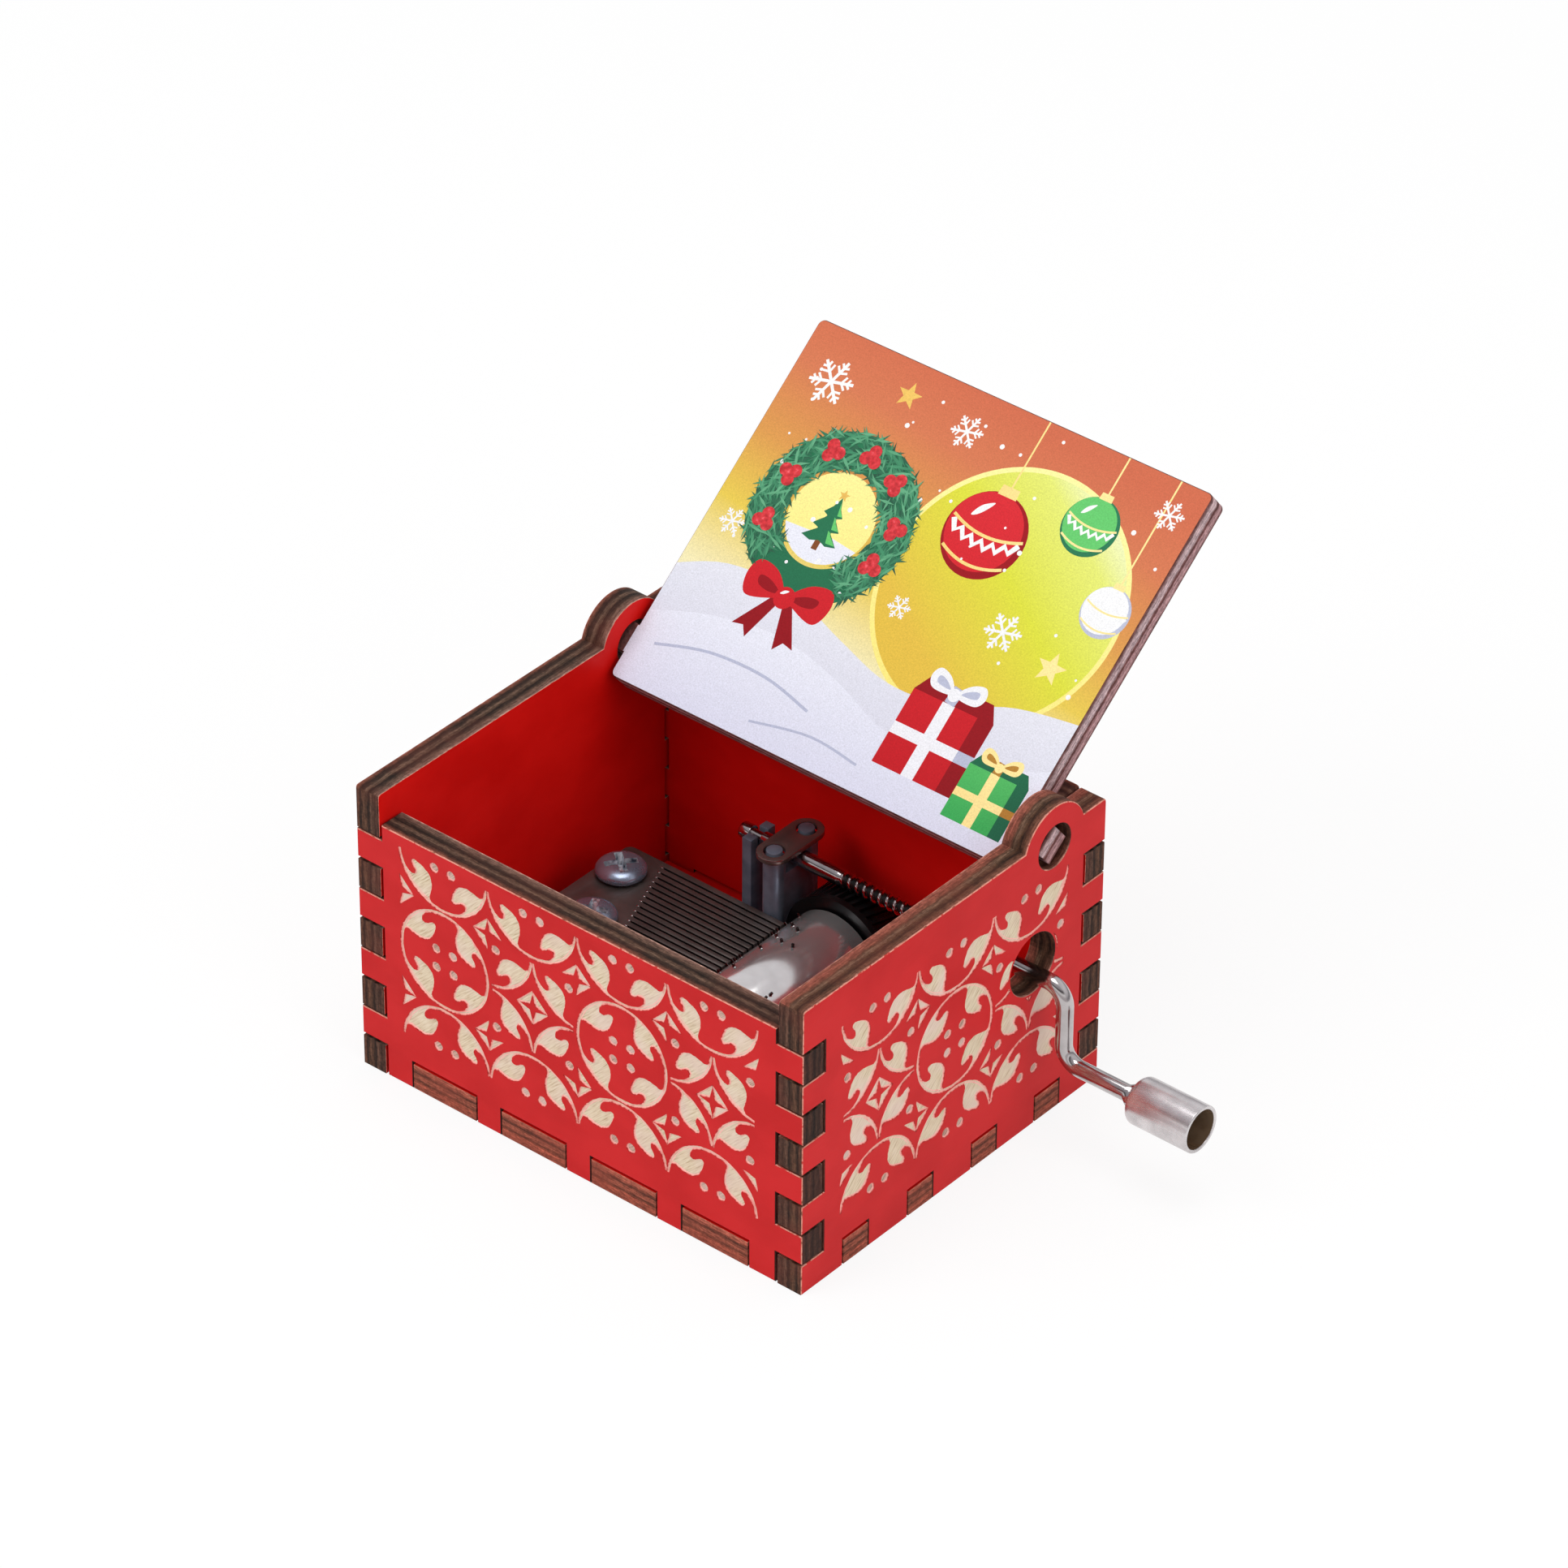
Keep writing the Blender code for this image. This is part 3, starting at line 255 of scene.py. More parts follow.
# %% Red paint on plywood
def satin_red_paint(name, shades):
    """Paint over the wood's long pores, with an orange peel and a few specks of dust."""
    made, tree, shader, where = new_finish(name)
    tint = add(tree, "ShaderNodeValToRGB", {"Fac": blotches(tree, where, (9, 9, 6), 3.0)}, shades)
    pores = blotches(tree, where, (3.0, 3.0, 0.22), 4.0)
    orange_peel = blotches(tree, where, 0.35, 1.0)
    relief = add(tree, "ShaderNodeMath", {0: pores, 1: orange_peel}, operation="ADD")
    dust = blotches(tree, where, 0.5, 5.0, Roughness=0.7)
    specks = add(tree, "ShaderNodeValToRGB", {"Fac": dust}, "70 #000000 76 #3A3A3A")
    dusted = add(tree, "ShaderNodeMix", {0: specks, 6: tint, 7: "#E58A84"}, data_type="RGBA")
    coat(tree, shader, dusted, 0.46, 0.12, relief, 0.02, 0.35)
    return made


RED = satin_red_paint("satin_red_paint_on_plywood", "35 #BE1518 62 #C91D20")
# The inside is the same red paint, given lighter, more saturated shades as painted light.
INNER = satin_red_paint("red_paint_inside_with_painted_light", "35 #D2100C 62 #DD1612")

# %% Charred plywood edges
# Each edge has a palette for cuts that look up, lighter as painted light, and one for cuts that
# look sideways: the side and front palettes, darker as painted shade.
CASE_PLIES = ("0 #C08878 4 #7E4638 13 #5C382C 22 #2A1B15 34 #34251E 42 #5E483B 52 #4A362B "
              "59 #20140F 68 #32241D 80 #5E463B 93 #6E5046 100 #B08A7C")
RIGHT_PLIES = ("0 #C08878 5 #70483A 18 #5A3A2C 29 #2E1C14 40 #4A3224 52 #6A5040 60 #4E3629 "
               "68 #744234 84 #84483B 95 #8C5244 100 #B88072")
SHADED_SIDE_PLIES = ("0 #362018 10 #5C3A2B 20 #241610 34 #5C3E2E 46 #462E22 56 #1E110C 66 #5C4033 "
              "80 #3B231A 92 #52352A 100 #2A1811")
FLOOR_PLIES = ("0 #B0604E 10 #8A4636 30 #A2523F 42 #5E3325 52 #95503E 64 #8A4A39 72 #512B20 "
               "84 #9C5240 100 #B46452")
SHADED_FRONT_SIDE_PLIES = ("0 #2A1711 10 #44271E 20 #1C0F0B 34 #482D22 46 #341F17 56 #170D09 66 #3F281E "
               "80 #2A1812 92 #513026 100 #23120C")
LID_PLIES = ("0 #5E3734 8 #71504F 20 #B49A9C 40 #BEA5A8 50 #6E4644 57 #5A3230 66 #A67E80 "
             "84 #AC8688 94 #724A49 100 #5E3A38")
STREAKS_IN_DEPTH = 24.0


def charred_ply_edge(name, plies, shaded_side_plies, redness):
    """Stripes along the board's edge. An edge that looks up is rubbed and takes lighter shades
    as painted light; one that looks sideways takes darker shades as painted shade."""
    made, tree, shader, where = new_finish(name)
    depth = add(tree, "ShaderNodeAttribute", attribute_name="ply").outputs["Fac"]
    drift = add(tree, "ShaderNodeMapRange", {
        "Value": blotches(tree, where, 0.9, 4.0, Roughness=0.65), **span(0.25, 0.75, -0.04, 0.04)})
    moved = add(tree, "ShaderNodeMath", {0: depth, 1: drift}, operation="ADD")
    lit_top_stripes, shaded_side_stripes = (add(tree, "ShaderNodeValToRGB", {"Fac": moved}, shades)
                                for shades in (plies, shaded_side_plies))
    normal = add(tree, "ShaderNodeTexCoord").outputs["Normal"]
    height = add(tree, "ShaderNodeSeparateXYZ", {0: normal}).outputs["Z"]
    looks_up = add(tree, "ShaderNodeMapRange", {"Value": height, **span(0.1, 0.5)})
    stripes = add(tree, "ShaderNodeMix", {0: looks_up, 6: shaded_side_stripes, 7: lit_top_stripes},
                  data_type="RGBA")
    fibre = blotches(tree, where, 0.42, 6.0, Roughness=0.8)
    light = add(tree, "ShaderNodeMapRange", {"Value": fibre, **span(0.36, 0.64, 0.62, 1.38)})
    place = add(tree, "ShaderNodeSeparateXYZ", {0: scaled(tree, where, 1.7)}).outputs
    level = add(tree, "ShaderNodeMath", {0: place["X"], 1: place["Y"]}, operation="ADD")
    across = add(tree, "ShaderNodeMath", {0: depth, 1: STREAKS_IN_DEPTH}, operation="MULTIPLY")
    lengthwise = add(tree, "ShaderNodeCombineXYZ", {"X": across, "Y": level, "Z": place["Z"]})
    streak = add(tree, "ShaderNodeTexNoise", {"Vector": lengthwise, "Scale": 1.0, "Detail": 4.0,
                                              "Roughness": 0.6})
    streaked = add(tree, "ShaderNodeMapRange", {"Value": streak, **span(0.36, 0.64, 0.55, 1.50)})
    both = add(tree, "ShaderNodeMath", {0: light, 1: streaked}, operation="MULTIPLY")
    fibred = add(tree, "ShaderNodeMix", {0: 1.0, 6: stripes, 7: both}, data_type="RGBA",
                 blend_type="MULTIPLY")
    warm = add(tree, "ShaderNodeMapRange", {"Value": blotches(tree, where, 7),
                                            **span(0.45, 0.7, 0.0, redness)})
    glowing = add(tree, "ShaderNodeMix", {0: warm, 6: fibred, 7: "#8E4234"}, data_type="RGBA")
    coat(tree, shader, glowing, 0.75, 0.2, fibre, 0.12)
    return made


CASE_EDGE = charred_ply_edge("charred_case_ply_edge", CASE_PLIES, SHADED_SIDE_PLIES, 0.2)
FRONT_EDGE = charred_ply_edge("charred_front_ply_edge", CASE_PLIES, SHADED_FRONT_SIDE_PLIES, 0.1)
RIGHT_EDGE = charred_ply_edge("charred_right_ply_edge", RIGHT_PLIES, SHADED_SIDE_PLIES, 0.25)
FLOOR_EDGE = charred_ply_edge("scorched_floor_ply_edge", FLOOR_PLIES, FLOOR_PLIES, 0.5)
LID_EDGE = charred_ply_edge("charred_lid_ply_edge", LID_PLIES, LID_PLIES, 0.1)

# %% Worn arris and scorched rim
BOARD = 3.4
ENGRAVING_DEPTH, ENGRAVING_RIM = 0.18, 0.17


def worn_arris():
    """The narrow edge between face and cut, where paint is thin and char shows through. Its
    pale pink is partly a painted highlight, given only to arrises that look up or end the board.
    """
    made, tree, shader, where = new_finish("worn_paint_arris_with_painted_highlight")
    rub = blotches(tree, where, 0.7, 4.0)
    tint = add(tree, "ShaderNodeValToRGB", {"Fac": rub},
               "34 #B8382F 44 #DA9686 58 #CC7E6C 70 #7E4636")
    coat(tree, shader, tint, 0.6, 0.2, rub, 0.03)
    return made


def scorched_rim():
    """The sloped side of a cut, from a dark red line at the top, partly scorch and partly painted
    shade, to pink crumbs at its foot.
    """
    made, tree, shader, where = new_finish("scorched_engraving_rim")
    crumbs = blotches(tree, where, 0.35, 3.0)
    depth = add(tree, "ShaderNodeAttribute", attribute_name="ply").outputs["Fac"]
    down = add(tree, "ShaderNodeMapRange", {"Value": depth,
                                            **span(0.0, ENGRAVING_DEPTH / BOARD, 0.0, 0.6)})
    crumbled = add(tree, "ShaderNodeMath", {0: crumbs, 1: 0.7, 2: down}, operation="MULTIPLY_ADD")
    tint = add(tree, "ShaderNodeValToRGB", {"Fac": crumbled},
               "35 #8E1816 50 #CE5E58 63 #EFA39A 95 #F2BBB2")
    coat(tree, shader, tint, 0.7, 0.15, crumbs, 0.03)
    return made


ARRIS, RIM = worn_arris(), scorched_rim()

# %% Bare basswood
FIBRE_ALONG, FIBRE_OVER = (380, 380, 380), (-4400, -4400, 4400)    # cells in a metre


def bare_basswood(name, shades):
    """Fine fibres that slant over a wall, some 1.9 mm long and 0.16 mm apart, with a blush."""
    made, tree, shader, where = new_finish(name)
    along, over = (add(tree, "ShaderNodeVectorMath", {0: where, 1: way}, operation="DOT_PRODUCT")
                   for way in (FIBRE_ALONG, FIBRE_OVER))
    slanting = add(tree, "ShaderNodeCombineXYZ", {"X": along, "Y": over})
    fibre = add(tree, "ShaderNodeTexNoise", {"Vector": slanting, "Scale": 1.0, "Detail": 5.0,
                                             "Distortion": 0.3})
    tint = add(tree, "ShaderNodeValToRGB", {"Fac": fibre}, shades)
    pink = add(tree, "ShaderNodeMapRange", {"Value": blotches(tree, where, (6, 6, 5)),
                                            **span(0.44, 0.64, 0.0, 0.6)})
    blushed = add(tree, "ShaderNodeMix", {0: pink, 6: tint, 7: "#E0C8BE"}, data_type="RGBA")
    coat(tree, shader, blushed, 0.8, 0.2, fibre, 0.05, 0.8)
    return made


BASSWOOD = bare_basswood("laser_engraved_basswood", "30 #B59C7C 44 #D4C1A4 60 #DFD1B8 75 #E6DAC4")
DOT_WOOD = bare_basswood("scorched_basswood_in_dots", "30 #7A5A4E 44 #B08E7E 60 #CFAFA0 75 #E0C4B6")
print("finishes so far", sorted(material.name for material in bpy.data.materials))

# %% [markdown]
# ## The scroll-leaf ornament
#
# The engraving is a grid of cells. Rings and stars alternate, and both are made of the
# same unit: a quarter of a ring with one hooked leaf on its inner side. A ring is four
# units about its own centre, and a star is four units about the corners of its cell.
# Small diamonds with a cross in them sit between. So three small functions draw it all,
# as flat outlines in millimetres.

# %% Curves and round shapes
DOT_RADIUS, DOT_SIDES = 0.65, 18


def round_point(centre, radius, degrees):
    angle = math.radians(degrees)
    return Vector((centre[0] + radius * math.cos(angle), centre[1] + radius * math.sin(angle)))


def dot(x, y, radius=DOT_RADIUS, sides=DOT_SIDES):
    return [round_point((x, y), radius, 360 * k / sides) for k in range(sides)]


def bent(a, b, c, d, steps):
    """Points from b on the way to c, on a curve that a and d steer."""
    shares = [step / steps for step in range(steps)]
    return [0.5 * (2 * b + (c - a) * t + (2 * a - 5 * b + 4 * c - d) * t * t
                   + (3 * b - a - 3 * c + d) * t * t * t) for t in shares]


def smooth_loop(points, steps):
    """A closed curve through the points, each stretch rounded by its neighbours."""
    turned_on = [points[k:] + points[:k] for k in (-1, 0, 1, 2)]
    return [p for four in zip(*turned_on) for p in bent(*four, steps)]


# %% Ring, leaf and diamond
CELL_WIDE, CELL_HIGH = 12.9, 13.2
RING_RADIUS, RING_LINE, LINE_END = 6.33, 0.46, 0.34
LEAF_IN_RING = [
    (74.0, 0.975), (69.8, 0.915), (68.8, 0.810), (67.6, 0.690), (63.5, 0.578), (55.0, 0.500),
    (42.0, 0.474), (28.5, 0.525), (19.5, 0.615), (15.6, 0.700), (17.8, 0.765), (23.5, 0.778),
    (30.5, 0.766), (34.8, 0.790), (36.3, 0.842), (33.2, 0.900), (26.0, 0.946), (17.0, 0.976),
    (10.0, 1.0), (30.0, 1.0), (50.0, 1.0), (70.0, 1.0)]
FREE_GAP, OVERLAP = 4.5, 2.5          # degrees at the ends of a quarter
STAR_HALF, CORNER_HALF = 2.35, 2.15
CROSS_ARM, CROSS_HEART = 0.76, 0.16


def ring_band(centre, start, end, free_start, free_end, steps=16):
    """A stretch of the ring's line, drawn thin where it ends freely."""
    outer, inner = [], []
    for k in range(steps + 1):
        share = k / steps
        half = RING_LINE / 2
        if free_start:
            half = min(half, LINE_END / 2 + share * RING_LINE)
        if free_end:
            half = min(half, LINE_END / 2 + (1 - share) * RING_LINE)
        angle = start + (end - start) * share
        outer.append(round_point(centre, RING_RADIUS + half, angle))
        inner.append(round_point(centre, RING_RADIUS - half, angle))
    return outer + inner[::-1]


def quarter(centre, turn, free_start=False, free_end=False):
    """A quarter of the ring's line and its leaf."""
    start = turn + (FREE_GAP if free_start else -OVERLAP)
    end = turn + 90 - (FREE_GAP if free_end else -OVERLAP)
    leaf = [round_point(centre, RING_RADIUS * share, turn + angle) for angle, share in LEAF_IN_RING]
    return [ring_band(centre, start, end, free_start, free_end), smooth_loop(leaf[::-1], 3)]


def diamond(centre, half, quarters):
    """Corner pieces of a diamond, with a pointed cross left standing between them."""
    arm, heart = half * CROSS_ARM, half * CROSS_HEART
    points = [(half, 0), (0, half), (0, arm), (heart, heart), (arm, 0)]
    turns = [Matrix.Rotation(math.radians(90 * number), 2) for number in quarters]
    return [[turn @ Vector(p) + Vector(centre) for p in points] for turn in turns]


# %% The whole ornament of a face
DIAGONALS = ((-1, -1), (1, -1), (1, 1), (-1, 1))
RING_DOTS, EDGE_DOTS, STAR_DOTS = (1.25, 1.25), (1.22, 1.0), (1.15, 1.35)
CORNER_LIFT = 0.35


def scrollwork(columns, rows, middle, first_is_ring):
    """All outlines of the ornament on one face: columns of ring and star cells, with rows of
    half rings above and below them."""
    shapes = []
    left = middle[0] - columns * CELL_WIDE / 2
    low = middle[1] - rows * CELL_HIGH / 2
    for column in range(columns):
        x = left + (column + 0.5) * CELL_WIDE
        for row in range(rows):
            y = low + (row + 0.5) * CELL_HIGH
            if (column + row) % 2 == (0 if first_is_ring else 1):
                for number in range(4):
                    shapes += quarter((x, y), 90 * number)
                shapes += [dot(x + i * RING_DOTS[0], y + j * RING_DOTS[1])
                           for i in (-1, 1) for j in (-1, 1)]
                continue
            for number, (i, j) in enumerate(DIAGONALS):
                corner = (x + i * CELL_WIDE / 2, y + j * CELL_HIGH / 2)
                shapes += quarter(corner, 90 * number, True, True)
            shapes += diamond((x, y), STAR_HALF, range(4))
        for y, numbers, inward in ((low - CELL_HIGH / 2, (0, 1), 1),
                                   (low + (rows + 0.5) * CELL_HIGH, (2, 3), -1)):
            for number in numbers:
                at_side = number in (0, 2)
                shapes += quarter((x, y), 90 * number, at_side, not at_side)
            shapes += [dot(x + side * EDGE_DOTS[0], y + inward * EDGE_DOTS[1])
                       for side in (-1, 1)]
    for column in range(columns + 1):
        for row in range(rows + 1):
            shapes += corner_piece(left + column * CELL_WIDE, low + row * CELL_HIGH,
                                   column, columns, row, rows, first_is_ring)
    return shapes


def corner_piece(x, y, column, columns, row, rows, first_is_ring):
    """The small diamond at a corner of the cells. Its quarter towards a star gives way to a
    dot, and at the ends of the face only its inner half is cut."""
    kept, dots = [], []
    for number, (i, j) in enumerate(((1, 1), (-1, 1), (-1, -1), (1, -1))):
        next_column, next_row = column + min(i, 0), row + min(j, 0)
        if not 0 <= next_column < columns:
            continue
        star = (next_column + next_row) % 2 == (1 if first_is_ring else 0)
        if 0 <= next_row < rows and star:
            dots.append(dot(x + i * STAR_DOTS[0], y + j * STAR_DOTS[1]))
        else:
            kept.append(number)
    lift = CORNER_LIFT if row == rows else -CORNER_LIFT if row == 0 else 0.0
    return diamond((x, y + lift), CORNER_HALF, kept) + dots


# %% [markdown]
# ## Boards with cut faces
#
# Each panel is drawn from the frame: the outline of the CAD solid's flat face is read,
# its corners are rounded a little, and the ornament's outlines are laid on it. A
# constrained triangulation splits the face along all the lines at once and says which
# outlines each triangle lies in. Triangles in an engraved outline go down by the depth of
# the cut, and a narrow rim between joins them to the painted face as a slope. A chamfer,
# the cut edge and the back close the board.

# %% Reading a face's outline
LOOKS_OUT = 0.99          # cosine between a face and the way out
STRAIGHT_ON = 0.9999      # cosine at a point that lies on a straight stretch
SHARP_TURN = 0.7          # sine at a corner that is rounded
TIGHTEST_TURN = 0.35      # keeps an inset point near its very sharp corner


class Place:
    """A flat frame on a face: u and v run along it, and out points away from the board."""

    def __init__(self, origin, u, v):
        self.origin, self.u, self.v = Vector(origin), Vector(u), Vector(v)
        self.out = self.u.cross(self.v)

    def to_world(self, x, y, height=0.0):
        return self.origin + (self.u * x + self.v * y + self.out * height) * MM

    def to_face(self, point):
        away = point - self.origin
        return Vector((away.dot(self.u), away.dot(self.v))) / MM


def outlines(node, place):
    """The loops round the solid's face that looks along place.out: the material is on their
    left. Also gives how far out that face lies."""
    made = bmesh.new()
    made.from_mesh(nodes[node].data)
    bmesh.ops.remove_doubles(made, verts=made.verts, dist=0.0005 * MM)
    made.normal_update()
    reach = max((v.co - place.origin).dot(place.out) for v in made.verts)
    near = 0.02 * MM
    face = [f for f in made.faces      # in their own order, so that each run draws the same
            if f.normal.dot(place.out) > LOOKS_OUT
            and all((v.co - place.origin).dot(place.out) > reach - near for v in f.verts)]
    follows = {}
    for f in face:
        for corner in f.loops:
            if sum(other in face for other in corner.edge.link_faces) == 1:
                follows[corner.vert] = corner.link_loop_next.vert
    loops = []
    while follows:
        here, loop = next(iter(follows)), []
        while here in follows:
            loop.append(place.to_face(here.co))
            here = follows.pop(here)
        loops.append([here for here, a, b in corners_of(loop) if a.dot(b) < STRAIGHT_ON])
    made.free()
    loops.sort(key=area, reverse=True)
    return loops, reach


def area(loop):
    return sum(a[0] * b[1] - b[0] * a[1] for a, b in zip(loop, loop[1:] + loop[:1])) / 2


def corners_of(loop):
    """Each point of a loop, with the directions in which the line comes to it and leaves."""
    for before, here, after in zip(loop[-1:] + loop[:-1], loop, loop[1:] + loop[:1]):
        yield here, (here - before).normalized(), (after - here).normalized()


def rounded(loop, corner_size, steps=3):
    """Rounds the sharp outer corners of a loop, each by its own size."""
    made = []
    for here, a, b in corners_of(loop):
        if a.x * b.y - a.y * b.x < SHARP_TURN or corner_size(here) == 0:
            made.append(here)
            continue
        start, end = here - a * corner_size(here), here + b * corner_size(here)
        for t in (k / steps for k in range(steps + 1)):
            made.append((1 - t) ** 2 * start + 2 * t * (1 - t) * here + t * t * end)
    return made


def inset(loop, distance):
    """Moves each stretch of a loop to its left by the distance."""
    sides = [(here, Vector((-a.y, a.x)), Vector((-b.y, b.x))) for here, a, b in corners_of(loop)]
    return [here + (a + b) * distance / max(1 + a.dot(b), TIGHTEST_TURN) for here, a, b in sides]


# %% Triangulating a face
FACE, RIM_BAND = 0.0, None


def is_inside(x, y, loop):
    """True where the counter-clockwise outline winds round the point."""
    winding = 0
    for a, b in zip(loop, loop[1:] + loop[:1]):
        if (a[1] <= y) != (b[1] <= y):
            side = (b[0] - a[0]) * (y - a[1]) - (x - a[0]) * (b[1] - a[1])
            if a[1] <= y and side > 0:
                winding += 1
            elif b[1] <= y and side < 0:
                winding -= 1
    return winding > 0


def cover(middles, outlines_in_order):
    """For each middle point, the number of the last outline that it lies in, or -1."""
    order = sorted(range(len(middles)), key=lambda k: middles[k][0])
    along = [middles[k][0] for k in order]
    found = [-1] * len(middles)
    for number, loop in enumerate(outlines_in_order):
        low, high = min(p[1] for p in loop), max(p[1] for p in loop)
        first = bisect.bisect_left(along, min(p[0] for p in loop))
        last = bisect.bisect_right(along, max(p[0] for p in loop))
        for k in order[first:last]:
            x, y = middles[k]
            if low <= y <= high and is_inside(x, y, loop):
                found[k] = number
    return found


def leftward(loop):
    return loop if area(loop) > 0 else loop[::-1]


def cut_face(made, place, loops, shapes, base_finish, nearest=1e-6):
    """Adds a face to the bmesh. Each shape is (outline, finish number, height in mm), and a
    later shape covers an earlier one. A height of None is a slope between its neighbours."""
    lines = [leftward(loop) for loop in loops] + [leftward(shape[0]) for shape in shapes]
    points, faces = [], []
    for line in lines:
        faces.append(list(range(len(points), len(points) + len(line))))
        points += line
    verts, _, triangles, *_ = delaunay_2d_cdt(points, [], faces, 0, nearest)
    middles = [tuple(sum(verts[corner][i] for corner in triangle) / 3 for i in (0, 1))
               for triangle in triangles]
    on_board = cover(middles, lines[:len(loops)])
    kept = []
    for triangle, board, over in zip(triangles, on_board, cover(middles, lines[len(loops):])):
        if board == 0:
            kept.append((triangle, *(shapes[over][1:] if over >= 0 else (base_finish, FACE))))
    heights = {}
    for triangle, _, height in kept:
        if height is not None:
            for corner in triangle:
                heights[corner] = max(heights.get(corner, height), height)
    half_down = min(heights.values()) / 2
    placed = {}
    for triangle, finish, _ in kept:
        for corner in triangle:
            if corner not in placed:
                height = heights.get(corner, half_down)
                placed[corner] = made.verts.new(place.to_world(*verts[corner], height))
        made.faces.new([placed[corner] for corner in triangle]).material_index = finish


# %% Engraving
RAGGED = 0.035
RIM_FINISH, FLOOR_FINISH, DOT_FINISH = 4, 5, 6


def engraved(shapes, dot_finish=DOT_FINISH):
    """Each outline as a sloped rim with a lower floor inside it. The laser leaves a slightly
    ragged edge, and it lingers in a dot, whose floor is browner."""
    shake = random.Random(31)
    wide = [[Vector(p) + Vector((shake.uniform(-RAGGED, RAGGED), shake.uniform(-RAGGED, RAGGED)))
             for p in leftward(s)] for s in shapes]
    floors = [dot_finish if len(s) == DOT_SIDES else FLOOR_FINISH for s in wide]
    return ([(s, RIM_FINISH, RIM_BAND) for s in wide]
            + [(inset(s, ENGRAVING_RIM), finish, -ENGRAVING_DEPTH)
               for s, finish in zip(wide, floors)])


# %% Building the board
UV_SPAN = 100.0           # millimetres in one unit of the UV map
CHAMFER = 0.10
# Near a board's end the arris is rubbed and takes the painted highlight.
END_RUB_AND_HIGHLIGHT = 0.3             # how near a board's end its edge is rubbed


def make_board(name, node, place, outer_shapes, inner_shapes, finishes, corner_size,
               worn_and_lit_arrises=True, back_chamfer=0.03):
    """A board between the outer face at place and its back. Finish 0 is the outer face,
    1 the inner face, 2 the cut edge and 3 the arris, rubbed and with a painted highlight:
    along the top, where it looks up, and at the ends of the board."""
    loops, reach = outlines(node, place)
    place = Place(place.origin + place.out * reach, place.u, place.v)
    back = Place(place.origin - place.out * BOARD * MM, -place.u, place.v)
    loops = [rounded(loop, corner_size) for loop in loops]
    end_at = max(abs(p.x) for p in loops[0]) - END_RUB_AND_HIGHLIGHT
    narrow, tight = ([inset(loop, size) for loop in loops] for size in (CHAMFER, back_chamfer))
    made = bmesh.new()
    cut_face(made, place, narrow, outer_shapes, 0)
    mirrored = [[Vector((-p.x, p.y)) for p in reversed(loop)] for loop in tight]
    cut_face(made, back, mirrored, inner_shapes, 1)
    for loop, inner, behind in zip(loops, narrow, tight):
        rings = [(inner, 0.0), (loop, -CHAMFER), (loop, back_chamfer - BOARD), (behind, -BOARD)]
        corners = [[made.verts.new(place.to_world(p.x, p.y, h)) for p in ring] for ring, h in rings]
        for number, (here, there) in enumerate(zip(corners, corners[1:])):
            for k in range(len(here)):
                after = (k + 1) % len(here)
                built = made.faces.new((here[k], there[k], there[after], here[after]))
                along = (loop[after] - loop[k]).normalized()
                # Painted highlight: arrises that run along the top look up, and those near the ends
                # are rubbed and lit, so they take the pale arris finish.
                rubbed = along.x < -0.3 or min(abs(loop[k].x), abs(loop[after].x)) > end_at
                worn = worn_and_lit_arrises and number != 1 and loop is loops[0] and rubbed
                built.material_index = 3 if worn else 2
    bmesh.ops.remove_doubles(made, verts=made.verts, dist=0.001 * MM)
    bmesh.ops.recalc_face_normals(made, faces=made.faces)
    mesh = mesh_of(name, made)
    depth = mesh.attributes.new("ply", "FLOAT", "POINT")
    for vertex, value in zip(mesh.vertices, depth.data):
        value.value = -(vertex.co - place.origin).dot(place.out) / MM / BOARD
    layer = mesh.uv_layers.new(name="face")
    for corner, spot in zip(mesh.loops, layer.uv):
        spot.vector = place.to_face(mesh.vertices[corner.vertex_index].co) / UV_SPAN
    for finish in finishes:
        mesh.materials.append(finish)
    return in_scene(name, mesh)


# %% [markdown]
# ## The case
#
# The long front has four columns of cells and the short right face has three. The crank's
# hole cuts into the ornament, as on the real box, so a plain painted margin round it, with no
# engraving, takes precedence. The left and back faces are not in view, and carry the same ornament.

# %% Four walls and the floor
SCROLL_MIDDLE = 20.0
HOLE_MARGIN = 0.35
WALL_TOP, TOP_CORNER = 38.1, 0.45
WALLS = [("front_panel", X, 4, FRONT_EDGE), ("right_panel", Y, 3, RIGHT_EDGE),
         ("left_panel", -Y, 3, CASE_EDGE), ("back_panel", -X, 4, CASE_EDGE)]


def wall_corner(point):
    """The top corners are rubbed round. The fingers' corners stay sharp."""
    return TOP_CORNER if point.y > WALL_TOP - 0.2 else 0.0


for node, along, columns, edge in WALLS:
    place = Place((0, 0, 0), along, Z)
    cuts = engraved(scrollwork(columns, 1, (0.0, SCROLL_MIDDLE), columns == 4))
    holes = outlines(node, place)[0][1:]
    cuts += [(inset(hole, HOLE_MARGIN)[::-1], 0, FACE) for hole in holes]
    wall = make_board("dressed_" + node, node, place, cuts, [],
                      [RED, INNER, edge, ARRIS, RIM, BASSWOOD, DOT_WOOD], wall_corner)
    claim(wall, "painted_plywood", "case", node)

floor_board = make_board("dressed_bottom_panel", "bottom_panel", Place((0, 0, 0), X, -Y), [], [],
                         [RED, INNER, FLOOR_EDGE, ARRIS], lambda point: 0.0, worn_and_lit_arrises=False)
claim(floor_board, "bare_plywood", "case", "bottom_panel")

